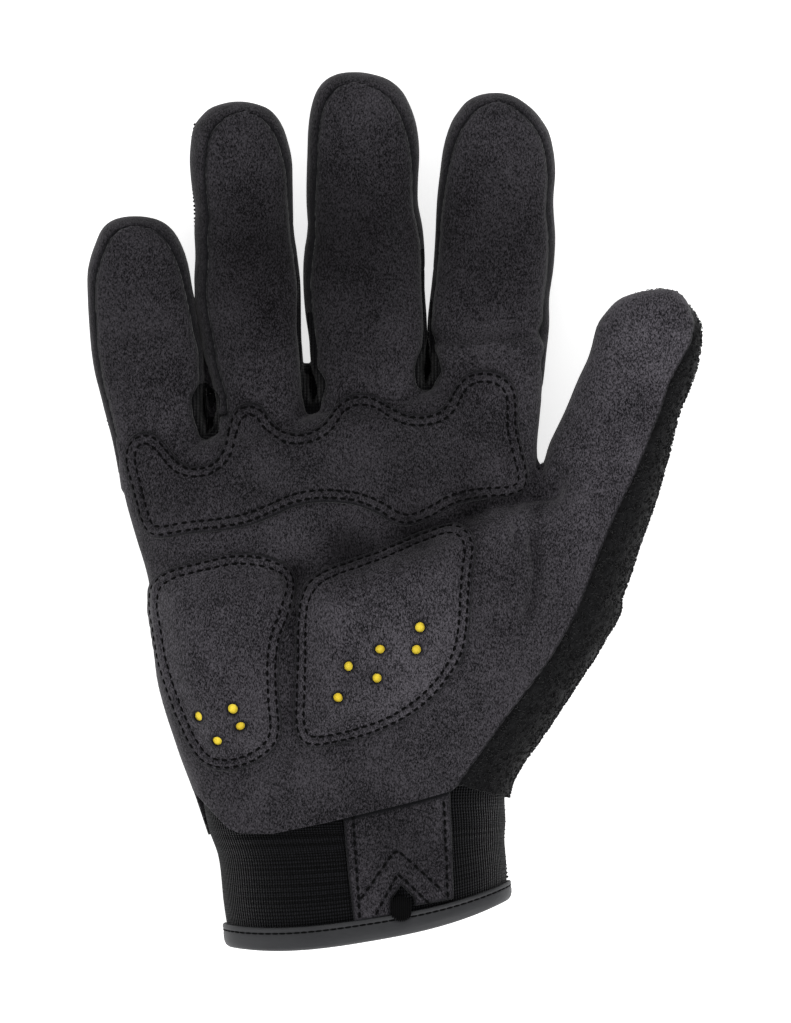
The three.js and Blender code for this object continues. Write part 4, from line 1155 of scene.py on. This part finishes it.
# Finishes
palm_suede = suede("palm_suede")
strip_suede = suede("strip_suede", 0.1, 0.78)
overlay_suede = suede("overlay_suede", 0.4, 0.86)
pad_suede = suede("pad_suede", 0.9, 1.2)
tab_suede = suede("tab_suede")
back_knit = knit("back_knit", 1.0, 1.2)
gusset_knit = knit("gusset_knit", 0.9, 1.0)
cuff_cloth = cuff_knit("cuff_cloth")
terry_cloth = terry("terry_cloth")
loop_yarn = terry("loop_yarn", 1.3)
binding_tape = smooth_binding("binding_tape")
pad_foam = foam("pad_foam")
black_thread = thread("black_thread")
guard_rubber = moulded_rubber("guard_rubber")


# Panels of the skin

def ahead_of_hem(points):
    """Distance ahead of the hem, which dips on the palm side and runs straight on the back."""
    plan = points[:, :2]
    hem = on_photo(HEM)
    dipped = plan[:, 1] - np.interp(plan[:, 0], hem[:, 0], hem[:, 1])
    back_hem = on_photo(BACK_HEM)
    straight = plan[:, 1] - np.interp(plan[:, 0], back_hem[:, 0], back_hem[:, 1])
    return np.where(points[:, 2] > SEAM, dipped, straight)


points, faces, layers = clip(points, faces, ahead_of_hem(points), layers)
palm_side = Side(points, faces, 1)
back_side = Side(points, faces, -1)


def panel(name, skin, field, material, slot):
    """The part of a skin in which a field is positive, with its wall."""
    cut_points, cut_faces, cut_layers = clip(skin[0], skin[1], field, skin[2])
    piece = make_piece(name + "_cloth", cut_points, cut_faces, material, slot, [name],
                       {"seam": cut_layers["seam"]})
    thicken(piece)


hand = (points, faces, layers)
panel("palm_panel", hand, layers["palm"], palm_suede, "suede")
panel("back_panel", hand, layers["back"], back_knit, "knit")
panel("thumb_terry_panel", hand, layers["terry"], terry_cloth, "terry")


# Where the wraps end, as a share of the finger's length ahead of the web: left and right
WRAP_STARTS = {"little": (0.42, 0.05), "ring": (0.05, 0.42), "middle": (0.3, 0.42),
               "index": (0.3, 0.42)}
# The strips between the wraps: the finger on the left of each, the one on its right, and how it
# is made
STRIPS = [
    ("side_strip_little", None, 0, strip_suede, "suede"),
    ("fourchette_little_ring", 0, 1, gusset_knit, "knit"),
    ("fourchette_ring_middle", 1, 2, gusset_knit, "knit"),
    ("fourchette_middle_index", 2, 3, gusset_knit, "knit"),
    ("side_strip_index", 3, None, strip_suede, "suede"),
]


def finger_edges(shape, plan):
    """X of a finger's left and right edges, in pixels, at the places' rows."""
    x, y = shape["tip"]
    left, right = edge_tables(shape, to_pixels(plan)[:, 1] - y)
    return x + left, x + right


def midway(left, right, plan):
    """X in plan of the line halfway between two edges that are in pixels."""
    return on_photo(np.stack([(left + right) / 2, to_pixels(plan)[:, 1]], -1))[:, 0]


def finger_sides(band):
    """The wraps round the fingertips, and the strips below them. A wrap reaches to the lines
    halfway to its neighbours and keeps out of the slots. A strip reaches from one finger's middle
    line to the next one's, and takes what the wraps leave."""
    plan, slots = band[0][:, :2], band[2]["slots"]
    x = plan[:, 0]
    edges = [finger_edges(shape, plan) for shape in FINGERS.values()]
    middles = [midway(left, right, plan) for left, right in edges]
    borders = [midway(before[1], after[0], plan) for before, after in zip(edges, edges[1:])]
    borders = [np.full(len(x), -FAR)] + borders + [np.full(len(x), FAR)]
    starts = [np.where(x < middle, *WRAP_STARTS[name]) for name, middle in zip(FINGERS, middles)]
    ahead = [(past_web(plan) / shape["length"] - start) * shape["length"]
             for shape, start in zip(FINGERS.values(), starts)]
    for k, name in enumerate(FINGERS):
        own = np.min([x - borders[k], borders[k + 1] - x, ahead[k], -slots], 0)
        panel(f"tip_wrap_{name}", band, own, strip_suede, "suede")
    below = [np.maximum(-past_start, slots) for past_start in ahead]
    for name, left, right, material, slot in STRIPS:
        limits = []
        if left is not None:
            limits += [x - middles[left], np.where(x < borders[left + 1], below[left], FAR)]
        if right is not None:
            limits += [middles[right] - x, np.where(x >= borders[right], below[right], FAR)]
        panel(name, band, np.min(limits, 0), material, slot)


finger_sides(clip(points, faces, layers["band"], layers))


# Pads on the palm: outlines of their outer rows of stitches, in pixels

UPPER_PAD = [(130, 447), (138, 437), (150, 436), (160, 443), (172, 458), (184, 468), (200, 470),
             (216, 464), (226, 450), (231, 430), (237, 413), (246, 407), (258, 408), (266, 417),
             (276, 430), (290, 437), (306, 437), (322, 430), (332, 420), (338, 410), (348, 400),
             (362, 397), (376, 400), (388, 409), (404, 417), (422, 419), (440, 414), (451, 403),
             (459, 388), (470, 377), (487, 374), (503, 379), (512, 390), (514, 407), (514, 428),
             (518, 450), (523, 470), (522, 486), (508, 493), (482, 495), (454, 501), (432, 513),
             (412, 521), (396, 520), (378, 510), (358, 502), (336, 499), (314, 499), (292, 504),
             (270, 514), (248, 522), (220, 527), (190, 530), (164, 534), (152, 532), (145, 521),
             (139, 502), (134, 482), (129.5, 463)]
HEEL_PAD = [(153, 591), (160, 579), (178, 570), (205, 563), (235, 557), (264, 559), (284, 567),
            (293, 580), (292, 596), (286, 616), (278, 640), (275, 668), (276, 700), (278, 726),
            (273, 744), (258, 757), (238, 765), (220, 766), (205, 760), (194, 746), (183, 724),
            (172, 696), (163, 668), (157, 636), (153, 610)]
THUMB_PAD = [(303, 602), (312, 584), (328, 572), (350, 564), (378, 554), (406, 542), (434, 531),
             (455, 528), (468, 535), (472, 550), (469, 572), (467, 600), (465, 628), (459, 655),
             (443, 681), (422, 703), (394, 721), (364, 733), (336, 740), (313, 743), (302, 736),
             (298, 716), (299, 688), (300, 656), (300, 626)]
HEEL_DOTS = [(202.5, 714), (235.5, 705.5), (243, 723), (220.5, 738)]
THUMB_DOTS = [(339, 695), (350, 666), (378, 676), (382, 649), (417, 649), (420, 627)]
ROW_GAP = 2.1  # between the two rows of stitches
PAD_EDGE = 1.15  # from the outer row out to the pad's edge
DOT_RADIUS = 1.28
THREAD_LIFT = 0.12  # a stitch's middle over the groove that it lies in
PAD_FILL = 0.7
FOAM_INSET = ROW_GAP + 1.6  # from the outer row in to the foam's edge
FOAM_SINK = 0.55  # the foam's top under the cover's


def flange(depth, thick):
    """A sewn edge: rolled at its rim, drawn down by a bell along both rows of stitches, and
    raised by one between them."""
    height = rolled(depth + PAD_EDGE, thick, 0.9)
    for row in (0.0, ROW_GAP):
        height -= 0.3 * bell(depth - row, 0.55)
    return height + 0.2 * bell(depth - ROW_GAP / 2, 0.5)


def upper_pad_lift(depth, plan):
    """The overlay's low puff: a smooth step of 0.5 mm over 5 mm in from the inner row."""
    puff = 0.5 * smooth_share((depth - ROW_GAP) / 5)
    return flange(depth, 1.5) + puff + 0.15 * weave_of_waves(plan, 14.0, 21)


def lower_pad_lift(depth, plan):
    """The crown over the foam: a smooth step of 2.3 mm over 8 mm in from the inner row, and one
    of 0.5 mm over the next 12 mm."""
    crown = 2.3 * smooth_share((depth - ROW_GAP) / 8) + 0.5 * smooth_share((depth - 8) / 12)
    return flange(depth, 1.25) + crown + 0.14 * weave_of_waves(plan, 12.0, 33)


def pad(name, pixels, lift, node, material, dots=(), fill=None):
    """A sewn pad with its holes, and both rows of stitches laid in its own grooves."""
    outline = closed_line(on_photo(pixels), 0.8)
    holes = [(on_photo(dot), DOT_RADIUS) for dot in dots]
    made = patch(outline, PAD_EDGE, palm_side, lift, holes)
    make_piece(name, *made[:2], material, "suede", [node], made[2], fill)
    rows = [stitches(line, palm_side,
                     lambda plan, d=depth: lift(np.full(len(plan), d), plan) + THREAD_LIFT)
            for line, depth in ((outline, 0.0), (drawn_in(outline, ROW_GAP), ROW_GAP))]
    make_piece(name + "_stitches", *together(rows), black_thread, "suede")
    return outline


pad("upper_overlay", UPPER_PAD, upper_pad_lift, "upper_palm_pad", overlay_suede)
heel_line = pad("heel_pad", HEEL_PAD, lower_pad_lift, "heel_pad_cover", pad_suede,
                HEEL_DOTS, PAD_FILL)
thumb_line = pad("thumb_pad", THUMB_PAD, lower_pad_lift, "thumb_pad_cover", pad_suede,
                 THUMB_DOTS, PAD_FILL)


def foam_under(name, outline):
    """Foam just under a cover: the cover's own crown, sunk by the cover's thickness."""
    def lift(depth, plan):
        return lower_pad_lift(depth + FOAM_INSET, plan) - FOAM_SINK

    made = patch(drawn_in(outline, FOAM_INSET), 0.0, palm_side, lift, spacing=0.8, foot=-0.2)
    make_piece(name + "_fill", *made[:2], pad_foam, "pad_foam", [name], None, PAD_FILL)


foam_under("heel_pad_foam", heel_line)
foam_under("thumb_pad_foam", thumb_line)


# Cuff, binding, tab and tack

CUFF_LEFT = np.array([(196, 770), (201, 795), (208, 830), (218, 860), (223, 905), (229, 943)],
                     float)
CUFF_RIGHT = np.array([(519, 757), (506, 790), (506, 822), (505, 840), (507, 868.5),
                       (507, 896)], float)
CUFF_RISES = np.array([18.6, 17.7, 18.0, 19.0, 19.0, 19.0])
CUFF_DROPS = np.array([10.4, 11.3, 14.0, 17.5, 17.5, 17.5])
CUFF_BOWS = np.array([0, 0, 0.4, 1.3, 3.5, 4.4])
CUFF_FLOOR = 1.5
CUFF_WALL = 1.8
CUFF_ROWS = np.arange(len(CUFF_LEFT))
CUFF_END = float(CUFF_ROWS[-1])
LAST_RUN = 10.0  # millimetres from the row before to the last row


def cuff_rings(at, grow, past, count=240):
    """Rings of the cuff at places, grown outwards and carried on past the end. Its middle bows
    out, and its underside is flat on the floor."""
    at = np.asarray(at, float)
    grow = np.broadcast_to(grow, at.shape)
    left, right = (on_photo(np.stack([through(CUFF_ROWS, side[:, k], at) for k in (0, 1)], -1))
                   for side in (CUFF_LEFT, CUFF_RIGHT))
    run = unit(right - left)
    back = np.stack([run[:, 1], -run[:, 0]], -1) * np.broadcast_to(past, at.shape)[:, None]
    left, right = left - run * grow[:, None] + back, right + run * grow[:, None] + back
    rise, drop, bow = (through(CUFF_ROWS, table, at) for table in
                       (CUFF_RISES, CUFF_DROPS, CUFF_BOWS))
    rings = sections(left, right, np.full(len(at), SEAM), rise + grow, drop + grow, 2.6, 4.0,
                     count)
    side = np.cos(np.arange(count) * math.tau / count)
    rings[..., 1] -= bow[:, None] * (1 - side * side)[None]
    rings[..., 2] = np.maximum(rings[..., 2], (CUFF_FLOOR - grow)[:, None])
    return rings


def closed_grid(rings):
    """Faces of rings that close on themselves both ways, as a bent tube's."""
    rows, count = rings.shape[:2]
    row, k = grid_places(rows, count)
    a, b = row * count + k, row * count + (k + 1) % count
    c, d = ((row + 1) % rows) * count + k, ((row + 1) % rows) * count + (k + 1) % count
    points, quads = rings.reshape(-1, 3), np.stack([a, b, d, c], 1)
    triangles = np.vstack([quads[:, [0, 1, 2]], quads[:, [0, 2, 3]]])
    turned = outward(points, triangles) is not triangles
    return points, quads[:, ::-1] if turned else quads


def add_map(piece, rings):
    """A map called cloth: millimetres round the cuff and along it, at each corner."""
    rows, count = rings.shape[:2]
    around = np.linalg.norm(np.diff(rings, axis=1, append=rings[:, :1]), axis=-1).mean(0)
    u = np.r_[0, np.cumsum(around)]
    along = np.linalg.norm(np.diff(rings, axis=0, append=rings[:1]), axis=-1).mean(1)
    v = np.r_[0, np.cumsum(along)]
    row, k = grid_places(rows, count)
    corners = np.stack([np.stack([u[k + i], v[row + j]], -1)
                        for i, j in ((0, 0), (1, 0), (1, 1), (0, 1))], 1)
    layer = piece.data.uv_layers.new(name="cloth")
    layer.data.foreach_set("uv", corners.astype(np.float32).ravel())


def make_cuff():
    """The cuff's wall: outside rings down to its end, and inside rings back up."""
    down = np.linspace(0, CUFF_END, 60)
    at = np.r_[down, CUFF_END, down[::-1]]
    grow = np.r_[np.zeros(60), -CUFF_WALL / 2, np.full(60, -CUFF_WALL)]
    past = np.r_[np.zeros(60), 0.5, np.zeros(60)]
    rings = cuff_rings(at, grow, past)[:, ::-1]
    points, faces = closed_grid(rings)
    piece = make_piece("cuff_knit", points, faces, cuff_cloth, "knit", ["cuff"])
    add_map(piece, rings)


make_cuff()

# The binding's section: how far up from the cuff's end, and out from the cuff's outside
BINDING_SECTION = [(4.9, 0.1), (4.95, 0.7), (4.75, 1.15), (4.3, 1.3), (3.8, 1.25), (3.4, 0.95),
                   (3.0, 1.25), (2.4, 1.4), (1.5, 1.5), (0.5, 1.5), (-0.6, 1.2), (-1.3, 0.5),
                   (-1.6, -0.6), (-1.5, -1.8), (-0.9, -2.7), (0.0, -3.1), (1.7, -3.15),
                   (3.6, -3.15), (4.7, -3.1), (4.9, -2.6), (4.8, -1.9), (0.2, -1.85),
                   (-0.1, -0.9), (0.2, 0.05)]
BINDING_GROOVE = (3.4, 1.15)  # where the thread lies in that section


def make_binding():
    """The tape round the cuff's end: its section carried round the end ring."""
    up, out = np.array(BINDING_SECTION).T
    rings = cuff_rings(CUFF_END - np.maximum(up, 0) / LAST_RUN, out, np.maximum(-up, 0))
    points, faces = closed_grid(rings[:, ::-1])
    points[:, 2] = np.maximum(points[:, 2], 0.0)
    make_piece("binding_fold", points, faces, binding_tape, "binding", ["cuff_binding"])


make_binding()

cuff_points, cuff_faces = loft(cuff_rings(np.linspace(0, CUFF_END, 90), 0.0, 0.0)[:, ::-1])
cuff_side = Side(cuff_points, cuff_faces, 1)

TAB = [(341, 800), (449, 780), (450, 800), (453.5, 898), (414, 905), (414, 897), (401, 884),
       (392, 898), (392, 914), (354, 921), (348, 870), (344, 822)]
# The tab's rows of stitches: one along each long edge, and two chevrons over the notch
TAB_ROWS = [
    [(353, 812), (360, 918)], [(443, 800), (447, 898)],
    [(360, 899), (396, 848), (440, 888)], [(375, 915), (398, 872), (430, 904)],
]
# The bar tack's threads: the first one's place across, the step to the next, the rows of pixels
# that they run between, and their lengths in millimetres
TACK_LEFT = 392.5
TACK_STEP = 1.9
TACK_ENDS = (893, 921)
TACK_LENGTHS = (5.6, 6.6, 7.3, 7.7, 7.9, 7.8, 7.6, 7.1, 6.4, 5.3)


def stitch_ring():
    """The line of thread sunk in the binding's groove, all the way round."""
    up, out = BINDING_GROOVE
    ring = cuff_rings([CUFF_END - up / LAST_RUN], out, 0.0, 420)[0]
    lengths = np.r_[0, np.cumsum(np.linalg.norm(np.diff(ring, axis=0), axis=1))]
    count = int(lengths[-1] / 2.1)
    at = (np.arange(count) + 0.5) * lengths[-1] / count
    middle, ahead = (np.stack([np.interp(at + shift, lengths, ring[:, k]) for k in range(3)], -1)
                     for shift in (0, 0.4))
    ahead = unit(ahead - middle)
    from_middle = middle - np.array([ring[:, 0].mean(), ring[:, 1].mean(), SEAM])
    across = unit(np.cross(from_middle, ahead))
    return threads(middle, ahead, np.cross(ahead, across), (2.0, 0.5, 0.42))


def make_tab():
    """The tab: a flat strap with a rolled edge and its rows of stitches. Its colour is drawn dark
    under the palm's hem's edge, a painted shadow, and along those rows, painted shade of the stitch
    pits."""
    outline = even_steps(np.vstack([on_photo(TAB), on_photo(TAB[0])]), 0.8)[:-1]

    def lift(depth, plan):
        return rolled(depth, 1.15, 0.7)

    made = patch(outline, 0.0, cuff_side, lift, spacing=0.45)
    plan = made[0][:, :2]
    # Painted shadow along the hem and painted shade beside the rows, carried in the seam layer.
    hem_shadow_distance = distance_to_line(plan, on_photo(HEM)) - 0.5
    stitch_shade_distance = np.min([distance_to_line(plan, on_photo(row)) for row in TAB_ROWS], 0)
    seam = np.min([made[2]["seam"], hem_shadow_distance, 1.2 * stitch_shade_distance + 0.4], 0)
    make_piece("tab_strap", *made[:2], tab_suede, "suede", ["cuff_tab"],
               {"seam": np.maximum(seam, 0)})
    sewn = [stitches(on_photo(row), cuff_side, 1.3, 2.6, 1.7, 0.7, False) for row in TAB_ROWS]
    make_piece("tab_stitches", *together(sewn), black_thread, "suede")


make_tab()
make_piece("binding_stitches", *stitch_ring(), black_thread, "binding")


def make_tack():
    """A bar tack: threads side by side, packed into a short thick bar."""
    bars = []
    for k, length in enumerate(TACK_LENGTHS):
        line = on_photo([(TACK_LEFT + TACK_STEP * k, end) for end in TACK_ENDS])
        bars.append(stitches(line, cuff_side, 1.4 + 0.09 * length, 8.0, length, 0.8, False))
    make_piece("bar_tack_threads", *together(bars), black_thread, "knit", ["cuff_bar_tack"])


make_tack()


# Rubber guards on the back

GUARD_HEIGHT = 4.3
GUARD_BASE = 1.9
GUARD_RIM = 1.6  # the base past its blocks
PALM_LENGTH = 108.4
HAND_WIDTH = 126.2
KNUCKLES = {"start": -0.26 * PALM_LENGTH, "end": -0.03 * PALM_LENGTH, "width": 0.7,
            "corner": 0.22, "base_width": 0.83 * HAND_WIDTH}
# Blocks along each finger's back, as shares of its length and of its width
FINGER_BLOCKS = [
    {"start": 0.14, "end": 0.32, "width": 0.6},
    {"start": 0.36, "end": 0.55, "width": 0.56},
    {"start": 0.59, "end": 0.78, "width": 0.5},
]


def rounded_box(origin, ahead, half_width, start, end, corner):
    """An outline in plan: four straight sides joined by quarter circles."""
    across = np.array([ahead[1], -ahead[0]])
    angle = np.linspace(0, math.pi / 2, 7)
    quarters = []
    for k, (x, y) in enumerate(((1, end), (-1, end), (-1, start), (1, start))):
        inward = -corner if y == end else corner
        turn = angle + k * math.pi / 2
        quarters.append(np.stack([x * (half_width - corner) + corner * np.cos(turn),
                                  y + inward + corner * np.sin(turn)], -1))
    flat = np.vstack(quarters)
    return origin + flat[:, :1] * across + flat[:, 1:] * ahead


def guard(name, base, blocks):
    """A rubber guard: a thin base with raised blocks. Its height at a place is the base's, rolled
    at its edge, and over a block its bevelled crown less a shallow dish on top, where that is
    more."""
    def lift(depth, plan):
        height = rolled(depth, GUARD_BASE, 0.8)
        for block in blocks:
            inside = inside_depth(plan, even_steps(np.vstack([block, block[:1]]), 1.0)[:-1])
            crown = smooth_share((inside + 0.2) / 1.5) * (GUARD_HEIGHT - GUARD_BASE)
            dish = 0.21 * smooth_share((inside - 2.2) / 0.9)
            height = np.maximum(height, height + crown - dish)
        return height

    made = patch(base, 0.0, back_side, lift, spacing=0.6)
    points = made[0]
    points[:, 2] = np.maximum(points[:, 2], 0.0)
    make_piece(name + "_moulding", points, made[1], guard_rubber, "guard_rubber", [name])


def finger_axes(shape):
    """Where a finger's own line crosses the web line, and the way that it runs."""
    lean = math.radians(shape["lean"])
    return WEB_MIDDLE + shape["side"] * WEB_ALONG, np.array([-math.sin(lean), math.cos(lean)])


knuckle_outlines = [rounded_box(*finger_axes(shape), KNUCKLES["width"] * shape["width"] / 2,
                                KNUCKLES["start"], KNUCKLES["end"],
                                KNUCKLES["corner"] * shape["width"])
                    for shape in FINGERS.values()]
knuckle_base = rounded_box(WEB_MIDDLE, WEB_AHEAD, KNUCKLES["base_width"] / 2,
                           KNUCKLES["start"] - GUARD_RIM, KNUCKLES["end"] + GUARD_RIM, 7.5)
guard("knuckle_guard", knuckle_base, knuckle_outlines)
for name, shape in FINGERS.items():
    origin, ahead = finger_axes(shape)
    blocks = [rounded_box(origin, ahead, block["width"] * shape["width"] / 2,
                          block["start"] * shape["length"], block["end"] * shape["length"],
                          0.14 * shape["width"]) for block in FINGER_BLOCKS]
    first, last = FINGER_BLOCKS[0], FINGER_BLOCKS[-1]
    base = rounded_box(origin, ahead, first["width"] * shape["width"] / 2 + GUARD_RIM,
                       first["start"] * shape["length"] - GUARD_RIM,
                       last["end"] * shape["length"] + GUARD_RIM, 0.2 * shape["width"])
    guard(f"finger_guard_{name}", base, blocks)


# Small work: the knit's serrated edges and the terry's loops

# Lines of the serrated edges, in pixels, and their heights over the fingers' middle
SERRATED = [
    ([(195, 124), (193, 134), (192, 155), (193, 180), (194.5, 205), (195.5, 225)], 0.6),
    ([(102.5, 396), (105.5, 410), (108.5, 424)], 0.6),
    ([(159.5, 686), (163, 700), (168, 718), (175, 738), (186, 764), (193, 785)], 0.6),
    ([(503, 803), (504, 825), (503, 845), (505, 865), (507, 878)], 1.5),
]


def serrations():
    """Black tufts of yarn along the side seams: an upright stitch at each step of a line, moved a
    little at random."""
    random = np.random.default_rng(12)
    parts = []
    for line, height in SERRATED:
        plan = even_steps(on_photo(line), 1.15)
        plan = plan + random.normal(0, 0.06, plan.shape)
        origin = np.column_stack([plan, SEAM + curl_at(plan) + height])
        run = unit(np.column_stack([np.gradient(plan, axis=0), np.zeros(len(plan))]))
        up = np.tile([0.0, 0.0, 1.0], (len(run), 1))
        parts.append(threads(origin, up, run, (1.5, 1.3, 0.8)))
    return together(parts)


make_piece("seam_serrations", *serrations(), gusset_knit, "knit")

# The terry's loops: how many there are, how far from the seam they keep, their yarn's radius, and
# between which values their half widths and their heights lie
LOOP_COUNT = 7200
LOOP_MARGIN = 0.4
LOOP_YARN = 0.16
LOOP_WIDE = (0.26, 0.42)
LOOP_TALL = (0.2, 0.48)


def loops(points, faces, count):
    """Terry loops: half rings of three-sided yarn that stand on the cloth at random places, each
    triangle in proportion to its area, apart from cloth that faces the index finger. A ring's
    middle is cos(u) along the cloth and sin(u) out from it, for u from 0 to half a turn."""
    random = np.random.default_rng(7)
    a, b, c = (points[faces[:, k]] for k in range(3))
    area = np.cross(b - a, c - a)
    size = np.linalg.norm(area, axis=1)
    size = np.where(area[:, 0] > -0.2 * size, size, 1e-9)
    pick = random.choice(len(faces), count, p=size / size.sum())
    u, v = np.sqrt(random.random((count, 1))), random.random((count, 1))
    base = a[pick] * (1 - u) + b[pick] * u * (1 - v) + c[pick] * u * v
    normal = area[pick] / size[pick, None]
    along = unit(np.cross(normal, random.normal(size=(count, 3))))
    across = np.cross(normal, along)
    turn = np.linspace(-0.15, math.pi + 0.15, 5)[None, :, None, None]
    round_yarn = (np.arange(3) * math.tau / 3)[None, None, :, None]
    wide = random.uniform(*LOOP_WIDE, (count, 1, 1, 1))
    tall = random.uniform(*LOOP_TALL, (count, 1, 1, 1))
    base, normal, along, across = (x[:, None, None] for x in (base, normal, along, across))
    out = np.cos(turn) * along + np.sin(turn) * normal
    middle = base + np.cos(turn) * wide * along + np.sin(turn) * tall * normal
    rings = middle + LOOP_YARN * (np.cos(round_yarn) * out + np.sin(round_yarn) * across)
    one = np.vstack([tube_faces(5, 3), [(0, 2, 1)], [(12, 13, 14)]])
    loop_faces = one[None] + (np.arange(count) * 15)[:, None, None]
    points, loop_faces = rings.reshape(-1, 3), loop_faces.reshape(-1, 3)
    return points, outward(points, loop_faces)


terry_skin = clip(points, faces, layers["terry"] - LOOP_MARGIN, layers)
make_piece("terry_loops", *loops(*terry_skin[:2], LOOP_COUNT), loop_yarn, "terry")


# Floor

def make_floor():
    """A pale floor just under the glove, that gives a little light of its own."""
    mesh = bpy.data.meshes.new("floor")
    reach = 4.0
    low = -0.05 * MILLIMETRE
    mesh.from_pydata([(-reach, -reach, low), (reach, -reach, low), (reach, reach, low),
                      (-reach, reach, low)], [], [(0, 1, 2, 3)])
    floor = bpy.data.objects.new("floor", mesh)
    bpy.context.scene.collection.objects.link(floor)
    finish = Finish("floor_white", 0.9)
    cloud = finish.noise(finish.place(), 400.0, 2.0, 0.5)
    finish.feed("Base Color", finish.mix(cloud, (0.9, 0.9, 0.9), (0.94, 0.94, 0.94)))
    finish.surface.inputs["Emission Color"].default_value = (1, 1, 1, 1)
    finish.surface.inputs["Emission Strength"].default_value = 0.7
    mesh.materials.append(finish.material)


make_floor()
